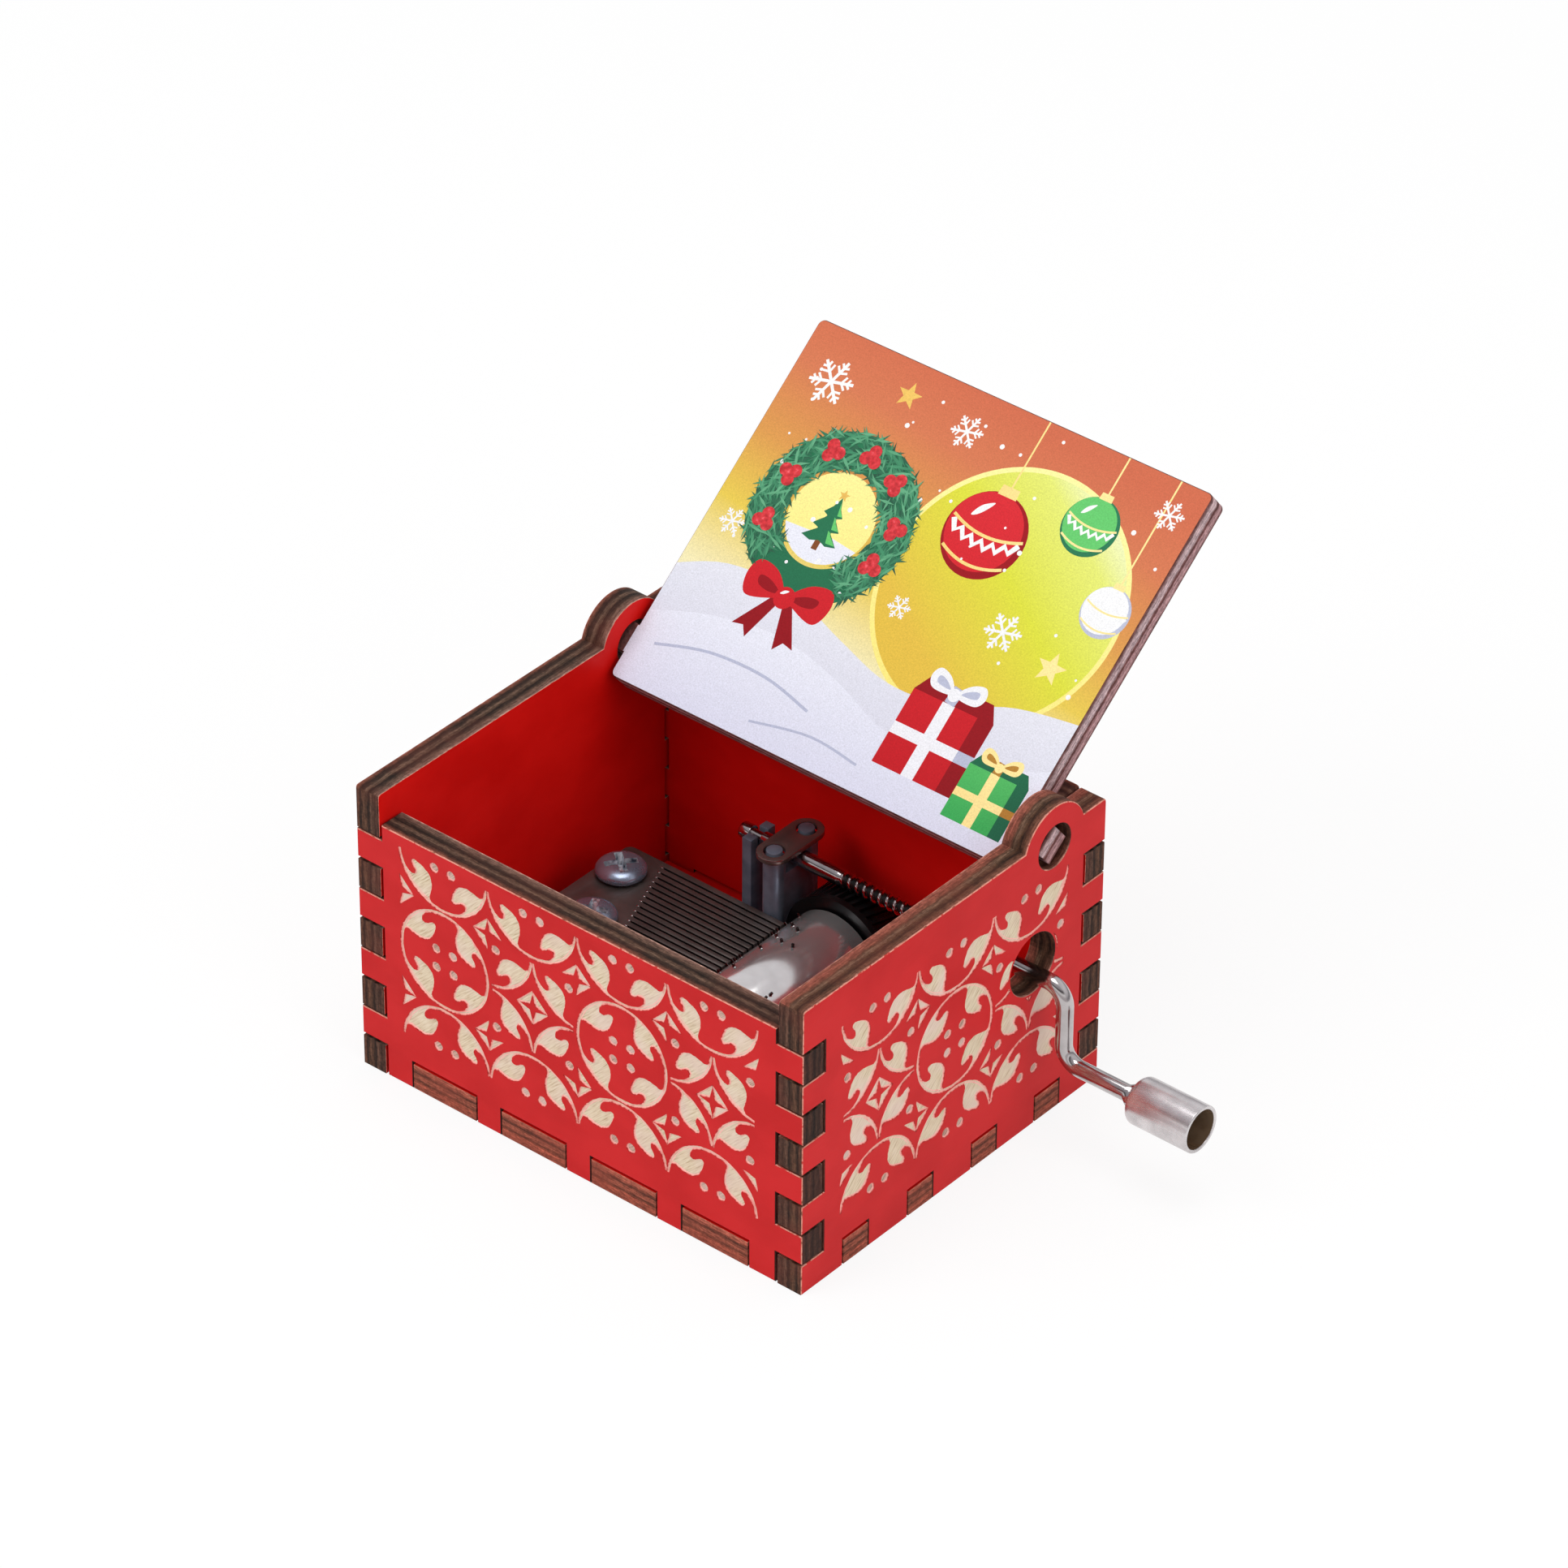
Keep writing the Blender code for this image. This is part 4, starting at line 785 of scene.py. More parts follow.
# %% [markdown]
# ## The printed lid
#
# The inner side of the lid carries a full-colour print on primed wood: a warm sky that
# runs from salmon to yellow, a lime disc, and snow. The motifs are plain winter ones: a
# wreath with a bow round a small fir in the snow, baubles on strings, parcels, stars and
# snowflakes. They are flat outlines again, so the same triangulation prints them: a later
# shape covers an earlier one, and each ink is its own finish. Its shades run along the face
# by the board's UV map, which counts millimetres.

# %% Printing inks
UPWARD = (0.0, 1.0)


def speckled(tree, grain, tint, levels):
    """A printed colour, lighter and darker with the grain of the primer."""
    level = add(tree, "ShaderNodeMapRange", {"Value": grain, **levels})
    return add(tree, "ShaderNodeMix", {0: 1.0, 6: tint, 7: level}, data_type="RGBA",
               blend_type="MULTIPLY")


def printed_ink(name, shades, along=UPWARD, start=-5.0, end=42.0):
    """Ink on primed wood. Its shades run in a direction on the face, from start to end."""
    made, tree, shader, where = new_finish(name)
    face = add(tree, "ShaderNodeUVMap", uv_map="face")
    reach = add(tree, "ShaderNodeVectorMath", {0: face, 1: (*along, 0)}, operation="DOT_PRODUCT")
    share = add(tree, "ShaderNodeMapRange", {
        "Value": reach, **span(start / UV_SPAN, end / UV_SPAN)})
    tint = add(tree, "ShaderNodeValToRGB", {"Fac": share}, shades)
    grain, pores = blotches(tree, where, 0.16), blotches(tree, where, (2.2, 0.25, 0.25), 3.0)
    relief = add(tree, "ShaderNodeMath", {0: pores, 1: grain}, operation="ADD")
    coat(tree, shader, speckled(tree, grain, tint, span(0.25, 0.75, 0.86, 1.10)), 0.42, 0.15,
         relief, 0.02, 0.3)
    return made


INKS = {ink: printed_ink("ink_" + name, *look) for ink, name, *look in (
    ("sky", "warm_sky", "28 #E6DDAE 46 #DABE4E 64 #D0934C 84 #CA7450 100 #C6684B", (0.10, 1.0)),
    ("lime", "lime_disc", "0 #D8B444 45 #D0D23E 78 #D8DE70 100 #E8ECCC", (0.55, 0.85), 14, 42),
    ("glow", "pale_glow", "0 #EFD768 100 #EFEBA0"),
    ("far_snow", "far_snow", "0 #C9CADA 100 #DADAE3", UPWARD, -5, 14),
    ("snow", "near_snow", "0 #CFD0E2 100 #DEDFE9", UPWARD, -5, 9),
    ("shade", "snow_shade", "0 #ADB1C8 100 #B9BCD0"),
    ("white", "white", "0 #E2E2E9 100 #ECECEA"),
    ("red", "red", "0 #B5161F 50 #C8222B 100 #D23038"),
    ("dark_red", "dark_red", "0 #860F18 100 #9C1822"),
    ("green", "fir_green", "0 #1E5D42 100 #2F7A54"),
    ("bright_green", "bright_green", "0 #2E9A4E 100 #63C06A", UPWARD, -5, 12),
    ("gold", "gold", "0 #C98F3A 50 #E5BD62 100 #F3DD96", (1.0, 0.35), -20, 24),
    ("dark_gold", "dark_gold", "0 #A87430 100 #C4983F"),
    ("brown", "brown", "0 #6C3B22 100 #8C5530"))}
print("inks", len(INKS))


# %% Drawing tools for the motifs
def vectors(points):
    return [Vector(p) for p in points]


def strip(points, width):
    """An outline of the given width along a line of points."""
    line = vectors(points)
    near, far = [], []
    for before, here, after in zip(line[:1] + line[:-1], line, line[1:] + line[-1:]):
        along = (after - before).normalized() * width / 2
        near.append(here + Vector((along.y, -along.x)))
        far.append(here - Vector((along.y, -along.x)))
    return near + far[::-1]


def curve(points, steps=6):
    """A smooth outline through the points."""
    return smooth_loop(vectors(points), steps)


def smooth_line(points, steps=6):
    """A smooth open line through the points."""
    padded = vectors([points[0], *points, points[-1]])
    fours = zip(padded, padded[1:], padded[2:], padded[3:])
    return [p for four in fours for p in bent(*four, steps)] + [padded[-1]]


def mirrored_about(x, outline):
    return [Vector((2 * x - p[0], p[1])) for p in reversed(outline)]


def shifted(outline, dx, dy, size=1.0):
    return [Vector((p[0] * size + dx, p[1] * size + dy)) for p in outline]


def both_ways(outline, x, y, colour, size=1.0):
    """A motif and its mirror image beside the line at x."""
    drawn = shifted(outline, x, y, size)
    return [(drawn, colour), (mirrored_about(x, drawn), colour)]


def pointed_star(x, y, outer, inner, points=5):
    return [round_point((x, y), inner if k % 2 else outer, 90 + 180 * k / points)
            for k in range(2 * points)]


# %% Snowflake, bauble, tree and parcel
LID_LOW, LID_HIGH, LID_HALF = -4.8, 42.4, 28.0
FLAKE_TURN, TWIG_LEAN = 12, 55
BELT_TEETH = 13


def snowflake(x, y, radius):
    """Six arms, each with two pairs of side twigs."""
    made = []
    for angle in (60 * arm + FLAKE_TURN for arm in range(6)):
        made.append(strip([(x, y), round_point((x, y), radius, angle)], radius * 0.13))
        for share, reach in ((0.45, 0.34), (0.70, 0.24)):
            root = round_point((x, y), radius * share, angle)
            for lean in (-TWIG_LEAN, TWIG_LEAN):
                made.append(strip([root, round_point(root, radius * reach, angle + lean)],
                                  radius * 0.10))
    return made


def bauble(x, y, radius, colour, shadow):
    """A ball on a string, with a cap, a zigzag belt and a highlight."""
    belt = []
    for k in range(BELT_TEETH):
        share = k / (BELT_TEETH // 2) - 1
        sag = -0.22 * (1 - share * share)
        belt.append((x + share * radius * 0.86, y + radius * (sag + 0.09 * (-1) ** k)))
    made = [(strip([(x, y + radius), (x, LID_HIGH)], 0.22), "gold"),
            (dot(x, y, radius, 40), shadow),
            (dot(x - radius * 0.06, y + radius * 0.06, radius * 0.91, 40), colour),
            (strip(belt, radius * 0.13), "white")]
    for level in (0.18, -0.52):
        line = [(x + radius * math.sqrt(1 - level ** 2) * 0.93 * s / 6,
                 y + radius * (level - 0.20 * (1 - (s / 6) ** 2))) for s in range(-6, 7)]
        made.append((strip(line, radius * 0.07), "gold"))
    shine = curve([(-0.55, 0.30), (-0.42, 0.56), (-0.16, 0.72), (-0.26, 0.52), (-0.42, 0.34)])
    cap = [(-0.24, 0.93), (0.24, 0.93), (0.22, 1.16), (-0.22, 1.16)]
    return made + [(shifted(shine, x, y, radius), "white"), (shifted(cap, x, y, radius), "gold")]


def fir_tree(x, y, high):
    """A fir in three tiers on a short trunk, with a star on its tip."""
    made = [(strip([(x, y - high * 0.06), (x, y + high * 0.2)], high * 0.11), "brown")]
    for low, wide, tall in ((0.10, 0.35, 0.42), (0.34, 0.27, 0.38), (0.58, 0.19, 0.32)):
        tier = [(0, low + tall), (-wide * 0.42, low + tall * 0.42), (-wide, low),
                (-wide * 0.45, low - 0.045), (0, low + 0.01), (wide * 0.45, low - 0.045),
                (wide, low), (wide * 0.42, low + tall * 0.42)]
        shine = [(wide * 0.10, low + tall * 0.78), (wide * 0.46, low + tall * 0.34),
                 (wide * 0.90, low + 0.02), (wide * 0.40, low + 0.01)]
        made.append((shifted(tier, x, y, high), "green"))
        made.append((shifted(shine, x, y, high), "bright_green"))
    return made + [(pointed_star(x, y + high * 0.94, high * 0.11, high * 0.045), "gold")]


def parcel(x, y, wide, high, colour, shadow, ribbon, ribbon_shadow):
    """A box seen from a little above, with a ribbon and a bow."""
    slant, rise = wide * 0.22, high * 0.22
    right, top, corner, belt = x + wide, y + high, x + wide * 0.80, y + high * 0.48
    middle, knot = x + wide * 0.44, top + rise * 0.55
    front = [(x, y), (right, y), (right, top), (x, top)]
    side = [(corner, y), (right, y), (right, top), (corner, top)]
    cover_up = [(x, top), (right, top), (right - slant * 0.5, top + rise),
                (x + slant * 0.5, top + rise)]
    loop = curve([(0.2, 0.0), (1.2, 1.5), (2.8, 2.0), (3.4, 0.9), (2.6, -0.2)])
    eye = curve([(0.7, 0.35), (1.6, 1.1), (2.5, 1.25), (2.4, 0.5)])
    return [(front, colour), (side, shadow), (cover_up, shadow),
            (strip([(middle, y), (middle, top)], wide * 0.15), ribbon),
            (strip([(x, belt), (corner, belt)], high * 0.15), ribbon),
            (strip([(corner, belt), (right, belt)], high * 0.15), ribbon_shadow),
            (strip([(middle, top), (middle + slant * 0.1, top + rise)], wide * 0.13),
             ribbon_shadow),
            *both_ways(loop, middle, knot, ribbon, wide * 0.10),
            *both_ways(eye, middle, knot, ribbon_shadow, wide * 0.10),
            (dot(middle, knot, wide * 0.07, 18), ribbon)]


# %% The print, from back to front
WREATH = (-13.2, 22.0)
WREATH_OUTER, WREATH_INNER = 10.4, 6.1
WINDOW = WREATH_INNER - 0.5
BOW_DOWN = 10.4
FAR_HILLS = [(-29, 9.5), (-22, 12.4), (-13, 12.6), (-4, 10.0), (4, 8.0), (12, 8.6), (20, 11.6),
             (29, 13.0)]
NEAR_HILLS = [(-29, 3.5), (-20, 6.4), (-11, 7.4), (-2, 5.8), (6, 3.2), (14, 2.6), (22, 4.6),
              (29, 7.4)]
FLAKES = ((-22.5, 36.2, 2.9), (-3.6, 37.4, 2.1), (24.4, 38.2, 1.9), (13.6, 18.6, 2.4),
          (-24.4, 17.0, 1.7), (0.4, 16.2, 1.5))
SPARKLES, SPARKLE_SIZES = 46, (0.16, 0.22, 0.32)


def snowfields():
    """A disc of light, two lines of hills and the soft shades on the snow."""
    below = vectors([(LID_HALF + 1, LID_LOW - 1), (-LID_HALF - 1, LID_LOW - 1)])
    return [(dot(11.0, 22.0, 15.6, 80), "glow"), (dot(11.0, 22.0, 15.0, 80), "lime"),
            (smooth_line(FAR_HILLS) + below, "far_snow"),
            (strip(smooth_line([(x, y - 0.5) for x, y in NEAR_HILLS]), 0.9), "shade"),
            (smooth_line(NEAR_HILLS) + below, "snow"),
            (strip(smooth_line([(-25, 0.6), (-18, 2.4), (-10, 2.6), (-3, 1.2)]), 0.35), "shade"),
            (strip(smooth_line([(-9, -2.6), (-1, -1.2), (6, -1.8)]), 0.3), "shade")]


def wreath(x, y):
    """A ring with a fir in the snow inside it and a bow below."""
    snow_line = [round_point((x, y), WINDOW, 205 + 13 * k) for k in range(11)]
    made = [(dot(x, y, WREATH_OUTER, 64), "green"), (dot(x, y, WREATH_INNER, 64), "sky"),
            (dot(x, y, WINDOW, 64), "glow"),
            (snow_line + vectors([(x + 1.5, y - 2.0), (x - 2.0, y - 2.2)]), "snow"),
            *fir_tree(x, y - 3.6, 7.0)]
    tail = [(0.2, -0.4), (1.5, -0.5), (4.4, -5.0), (2.9, -4.7), (2.0, -5.9)]
    loop = curve([(0.4, 0.3), (2.4, 2.5), (5.2, 2.9), (6.0, 0.9), (5.0, -1.4), (2.2, -0.9)])
    fold = curve([(0.9, 0.25), (2.6, 1.2), (4.2, 1.3), (4.0, 0.3), (2.4, -0.1)])
    shine = curve([(-0.8, 0.3), (-0.4, 0.8), (0.2, 0.9), (-0.3, 0.4)])
    y -= BOW_DOWN
    for outline, colour in ((vectors(tail), "dark_red"), (loop, "red"), (fold, "dark_red")):
        made += both_ways(outline, x, y, colour)
    return made + [(dot(x, y, 1.35, 24), "red"), (shifted(shine, x, y), "white")]


def winter_print():
    made = snowfields() + wreath(*WREATH)
    made += bauble(5.2, 27.6, 5.3, "red", "dark_red")
    made += bauble(16.4, 33.4, 3.6, "bright_green", "green")
    made += bauble(23.6, 25.4, 3.1, "white", "shade")
    made += parcel(7.4, -0.6, 11.2, 9.4, "red", "dark_red", "white", "shade")
    made += parcel(18.4, -2.6, 8.2, 6.6, "bright_green", "green", "gold", "dark_gold")
    made += [(arm, "white") for flake in FLAKES for arm in snowflake(*flake)]
    made += [(pointed_star(21.2, 17.2, 2.0, 0.85), "gold"),
             (pointed_star(-12.6, 38.4, 1.7, 0.7), "gold")]
    sparkle = random.Random(7)
    for _ in range(SPARKLES):
        x, y = sparkle.uniform(-27, 27), sparkle.uniform(13, 41)
        made.append((dot(x, y, sparkle.choice(SPARKLE_SIZES), 8), "white"))
    return made


# %% The lid board
LID_TILT = math.radians(39)
LID_PIVOT = Vector((0, 16.7, 36.5)) * MM
LID_SCROLL_MIDDLE = 18.8
TAB_LONG, TAB_HALF = 9, 4
FIRST_INK = 6
lid_up = Vector((0, math.cos(LID_TILT), math.sin(LID_TILT)))
lid_face = Place(LID_PIVOT, X, lid_up)
inks = list(INKS)


def lid_corner(point):
    """The lid's own corners are round. Its two tabs are sawn square."""
    return 0.9 if abs(point.x) < LID_HALF + 0.2 else 0.12


lid_art = [(vectors(outline), FIRST_INK + inks.index(ink), FACE)
           for outline, ink in winter_print()]
for start, end in ((-LID_HALF - 0.1, -LID_HALF - TAB_LONG), (LID_HALF + 0.1, LID_HALF + TAB_LONG)):
    tab = [(start, -TAB_HALF), (end, -TAB_HALF), (end, TAB_HALF), (start, TAB_HALF)]
    lid_art.append((vectors(tab), 2, FACE))
lid_scrolls = scrollwork(4, 2, (0.0, LID_SCROLL_MIDDLE), True)
lid_cuts = engraved([mirrored_about(0, s) for s in lid_scrolls], FLOOR_FINISH)
lid = make_board("printed_lid", "lid", lid_face, lid_art, lid_cuts,
                 [INKS["sky"], RED, LID_EDGE, ARRIS, RIM, BASSWOOD] + [INKS[i] for i in inks],
                 lid_corner, worn_and_lit_arrises=False, back_chamfer=CHAMFER)
claim(lid, "printed_plywood", "lid", "lid")

# %% [markdown]
# ## Repeated parts by Geometry Nodes
#
# Fir needles, the burrs in the comb's slots, the cylinder's pins and the screws repeat one
# shape by a rule, so each is a Geometry Nodes tree with its sizes as named inputs. The tree
# ends in real geometry with its finish set, and the result is kept as a plain mesh.

# %% Tree helpers
def new_tree(name, inputs):
    tree = bpy.data.node_groups.new(name, "GeometryNodeTree")
    tree.interface.new_socket("Geometry", in_out="OUTPUT", socket_type="NodeSocketGeometry")
    for label, kind in {"Geometry": "Geometry", **inputs}.items():
        tree.interface.new_socket(label, in_out="INPUT", socket_type="NodeSocket" + kind)
    return tree, add(tree, "NodeGroupInput").outputs


def end_tree(tree, geometry, finish, mark="", marked_finish=None):
    """Makes the instances real and sets the finish, with another one on the marked faces."""
    real = add(tree, "GeometryNodeRealizeInstances", {0: geometry})
    dressed = add(tree, "GeometryNodeSetMaterial", {"Geometry": real, "Material": finish})
    if mark:
        chosen = add(tree, "GeometryNodeInputNamedAttribute", {"Name": mark}, data_type="BOOLEAN")
        dressed = add(tree, "GeometryNodeSetMaterial", {
            "Geometry": dressed, "Selection": chosen, "Material": marked_finish})
    add(tree, "NodeGroupOutput", {0: dressed})


def plain_result(piece):
    """Keeps what the modifiers made of a piece as its plain mesh, and drops them."""
    graph = bpy.context.evaluated_depsgraph_get()
    mesh = bpy.data.meshes.new_from_object(piece.evaluated_get(graph))
    piece.modifiers.clear()
    piece.data = mesh


def grown(name, base, tree, values):
    """Runs a tree on a base mesh and keeps the result as a plain mesh object."""
    made = in_scene(name, base)
    modifier = made.modifiers.new("grow", "NODES")
    modifier.node_group = tree
    for item in tree.interface.items_tree:
        if item.in_out == "INPUT" and item.name in values:
            modifier[item.identifier] = values[item.name]
    plain_result(made)
    return made


# %% Tree of the fir needles
def fir_green():
    """Green ink whose shade differs from needle to needle."""
    made, tree, shader, where = new_finish("ink_fir_needles")
    shade = add(tree, "ShaderNodeAttribute", attribute_name="shade").outputs["Fac"]
    tint = add(tree, "ShaderNodeValToRGB", {"Fac": shade},
               "0 #164A35 45 #256B4B 80 #38875F 100 #5FA67C")
    grain = blotches(tree, where, 0.16)
    coat(tree, shader, speckled(tree, grain, tint, span(0.0, 1.0, 0.8, 1.15)), 0.5)
    return made


tree, given = new_tree("needles_round_a_ring", {
    "Density": "Float", "Needle Length": "Float", "Needle Width": "Float", "Spread": "Float",
    "Lift": "Float"})
scatter = add(tree, "GeometryNodeDistributePointsOnFaces",
              {"Mesh": given["Geometry"], "Density": given["Density"], "Seed": 11})
spot = add(tree, "ShaderNodeSeparateXYZ", {0: add(tree, "GeometryNodeInputPosition")}).outputs
round_angle = add(tree, "ShaderNodeMath", {0: spot["Y"], 1: spot["X"]}, operation="ARCTAN2")
lean = add(tree, "FunctionNodeRandomValue", {"Min": -1.0, "Max": 1.0, "Seed": 3}, data_type="FLOAT")
lean_angle = add(tree, "ShaderNodeMath", {0: lean, 1: given["Spread"]}, operation="MULTIPLY")
along_ring = add(tree, "ShaderNodeMath", {0: round_angle, 1: math.pi / 2}, operation="ADD")
heading = add(tree, "ShaderNodeMath", {0: along_ring, 1: lean_angle}, operation="ADD")
lozenge = add(tree, "GeometryNodeMeshCircle", {"Vertices": 4, "Radius": 0.5}, fill_type="NGON")
stretch = add(tree, "ShaderNodeCombineXYZ", {"X": given["Needle Length"],
                                             "Y": given["Needle Width"], "Z": 1.0})
needle = add(tree, "GeometryNodeTransform", {"Geometry": lozenge, "Scale": stretch})
size = add(tree, "FunctionNodeRandomValue", {"Min": 0.65, "Max": 1.2, "Seed": 5}, data_type="FLOAT")
placed = add(tree, "GeometryNodeInstanceOnPoints", {
    "Points": scatter, "Instance": needle, "Scale": size,
    "Rotation": add(tree, "ShaderNodeCombineXYZ", {"Z": heading})})
rank = add(tree, "FunctionNodeRandomValue", {"Seed": 9}, data_type="FLOAT")
rise = add(tree, "ShaderNodeMath", {0: rank, 1: given["Lift"]}, operation="MULTIPLY")
lifted = add(tree, "GeometryNodeTranslateInstances", {
    "Instances": placed, "Translation": add(tree, "ShaderNodeCombineXYZ", {"Z": rise}),
    "Local Space": False})
shaded = add(tree, "GeometryNodeStoreNamedAttribute", {
    "Geometry": lifted, "Name": "shade", "Value": rank}, domain="INSTANCE", data_type="FLOAT")
end_tree(tree, shaded, fir_green())

# %% Needles on the wreath
RING_STEPS, BOW_GAP_STEPS = 48, 9
NEEDLES_IN_SQUARE_METRE = 6.5e6
PRINT_LIFT = 0.012
ring_mesh = bpy.data.meshes.new("wreath_ring")
ring_points = [round_point((0, 0), radius, 360 * k / RING_STEPS) for k in range(RING_STEPS)
               for radius in (WREATH_INNER - 0.2, WREATH_OUTER + 0.2)]
ring_faces = [(2 * k, 2 * k + 1, (2 * k + 3) % (2 * RING_STEPS), (2 * k + 2) % (2 * RING_STEPS))
              for k in range(RING_STEPS) if abs(k + 0.5 - RING_STEPS * 0.75) > BOW_GAP_STEPS / 2]
ring_mesh.from_pydata([(p.x * MM, p.y * MM, 0) for p in ring_points], [], ring_faces)
needles = grown("wreath_needles", ring_mesh, tree, {
    "Density": NEEDLES_IN_SQUARE_METRE, "Needle Length": 2.3 * MM, "Needle Width": 0.34 * MM,
    "Spread": 1.15, "Lift": 0.05 * MM})
turn_to_lid = Matrix((X, lid_up, lid_face.out)).transposed().to_4x4()
face_height = BOARD / 2 + PRINT_LIFT
needles.data.transform(Matrix.Translation(lid_face.to_world(*WREATH, face_height)) @ turn_to_lid)
claim(needles, "printed_plywood", "lid")

# %% Berries on the wreath
BERRY_RADIUS, BERRY_SIDES, BERRY_CLUSTERS = 0.8, 18, 7
BERRY_FOOT, BERRY_TOP, BERRY_STEP = 0.06, 0.12, 0.01


def berry_red():
    """Red ink that fades in soft spots, as on a round berry."""
    made, tree, shader, where = new_finish("ink_berry_red")
    tint = add(tree, "ShaderNodeValToRGB", {"Fac": blotches(tree, where, 0.5)},
               "30 #A5121C 60 #D22B33 80 #E4606A")
    coat(tree, shader, tint, 0.4)
    return made


made = bmesh.new()
berries_at = random.Random(4)
for cluster in range(BERRY_CLUSTERS):
    angle = 90 + 36 * (cluster - 3) + berries_at.uniform(-6, 6)
    middle = round_point(WREATH, (WREATH_INNER + WREATH_OUTER) / 2, angle)
    for k in range(3):
        berry = round_point(middle, BERRY_RADIUS * 0.95, angle + 120 * k)
        foot, top = (face_height + h + BERRY_STEP * k for h in (BERRY_FOOT, BERRY_TOP))
        rim_points = [made.verts.new(lid_face.to_world(*p, foot))
                      for p in dot(berry.x, berry.y, BERRY_RADIUS, BERRY_SIDES)]
        top_point = made.verts.new(lid_face.to_world(*berry, top))
        for a, b in zip(rim_points, rim_points[1:] + rim_points[:1]):
            made.faces.new((a, b, top_point))
berry_mesh = mesh_of("wreath_berries", made)
berry_mesh.materials.append(berry_red())
claim(in_scene("wreath_berries", berry_mesh), "printed_plywood", "lid")

# %% [markdown]
# ## Metals and plastics of the movement
#
# The casting is zinc, dull and bluish. The comb is hardened steel, tumbled dark. Its slots
# and the worm's thread roots are near black as painted shade. The cylinder and the crank
# wire are nickel plated and bright.
# The knob's sleeve is nickel too, brushed lengthwise so that its gloss spreads, and brass
# brown inside. The screws are bright zinc, and their struck recess is blotched from near
# black to near white as painted shade and glints. The riveted plate is browned steel, the
# pins are steel wire darkened as painted shade and the weights are grey lead. The wheel and
# the cap are black nylon, the core is brown resin and the dampers are pale film.
# Each metal has two shades that cloud into each other and a grain that breaks its gloss.
# All but the polished cylinder and the plate have a fine relief too.

# %% Metal and plastic finishes
def metal(name, dark, light, roughness, grain_mm, relief_mm, metallic=1.0, cloud_mm=2.5):
    """A worn metal: two shades that cloud into each other, and grain of the given size."""
    made, tree, shader, where = new_finish(name)
    cloud, grain = blotches(tree, where, cloud_mm, 5.0), blotches(tree, where, grain_mm, 4.0)
    tint = add(tree, "ShaderNodeValToRGB", {"Fac": cloud}, f"32 {dark} 68 {light}")
    gloss = add(tree, "ShaderNodeMapRange", {
        "Value": grain, **span(0.25, 0.75, roughness * 0.85, roughness * 1.2)})
    coat(tree, shader, tint, gloss, height=grain, relief_mm=relief_mm)
    join(tree, shader, {"Metallic": metallic})
    return made


def plastic(name, dark, light, roughness):
    """A moulded plastic with a faint, cloudy skin."""
    made, tree, shader, where = new_finish(name)
    cloud = blotches(tree, where, 1.2, 4.0)
    tint = add(tree, "ShaderNodeValToRGB", {"Fac": cloud}, f"30 {dark} 70 {light}")
    coat(tree, shader, tint, roughness, 0.3, cloud, 0.004)
    return made


CAST_ZINC = metal("cast_zinc", "#646C7B", "#828B9C", 0.32, 0.7, 0.004, 0.58)
COMB_STEEL = metal("tumbled_comb_steel", "#5A514E", "#6A605D", 0.34, (3.0, 0.12, 0.3), 0.004, 0.7)
# Near black for the comb's slots and the worm's thread roots: painted shade in narrow grooves.
GROOVE_SHADE = metal("painted_shade_in_slots_and_thread_roots", "#0C0A0A", "#161312", 0.5, 0.3, 0.004, 0.3)
NICKEL = metal("bright_nickel_plate", "#ADA8A8", "#C4BEBE", 0.15, 0.5, 0.003)
SLEEVE_NICKEL = metal("brushed_nickel_sleeve", "#BDB8B9", "#DCD7D8", 0.27, (2.4, 0.16, 0.16),
                      0.0022, 0.88)
CYLINDER_NICKEL = metal("polished_nickel_cylinder", "#D0CDCD", "#DEDBDB", 0.165, (0.5, 5.0, 0.5),
                        0.0, 0.85)
SCREW_ZINC = metal("bright_zinc_plate", "#7C8598", "#98A2B4", 0.25, 1.2, 0.0015, 0.75)
# The recess's blotches from near black to near white are painted shade and glints.
RECESS_PAINTED_GLINTS = metal("struck_zinc_recess_with_painted_glints", "#465062", "#F2F8FF", 0.15, 0.6, 0.05, 0.7, 0.6)
BROWNED_STEEL = metal("browned_spring_steel", "#75605C", "#86706B", 0.22, (2.0, 4.0, 2.0), 0.0,
                      0.75)
TUBE_INSIDE = metal("raw_brass_tube_inside", "#8C7057", "#B29A80", 0.16, (0.8, 0.3, 0.3), 0.004,
                    0.7)
# The pins are darkened as painted shade round their feet.
PIN_STEEL = metal("steel_pin_wire_darkened_as_shade", "#3E3736", "#5C5352", 0.16, 0.2, 0.002)
LEAD = metal("lead_weight", "#5E6064", "#77797E", 0.6, 0.3, 0.02)
BLACK_NYLON = plastic("black_nylon", "#030304", "#080809", 0.36)
BROWN_RESIN = plastic("brown_resin", "#4A2D1A", "#6A4427", 0.5)
DAMPER_FILM = plastic("damper_film", "#B9B39C", "#D2CDB8", 0.45)
print("finishes", len(bpy.data.materials))


# %% Helpers for turned and softened parts
def smooth_but_for_edges(mesh, degrees):
    mesh.polygons.foreach_set("use_smooth", [True] * len(mesh.polygons))
    mesh.set_sharp_from_angle(angle=math.radians(degrees))


def keep_shape(name, made, finish, node, slot, body, smooth_angle=40):
    """Turns a bmesh into a piece, smooth but for its sharp edges."""
    bmesh.ops.recalc_face_normals(made, faces=made.faces)
    mesh = mesh_of(name, made)
    smooth_but_for_edges(mesh, smooth_angle)
    mesh.materials.append(finish)
    piece = in_scene(name, mesh)
    claim(piece, slot, body, node)
    return piece


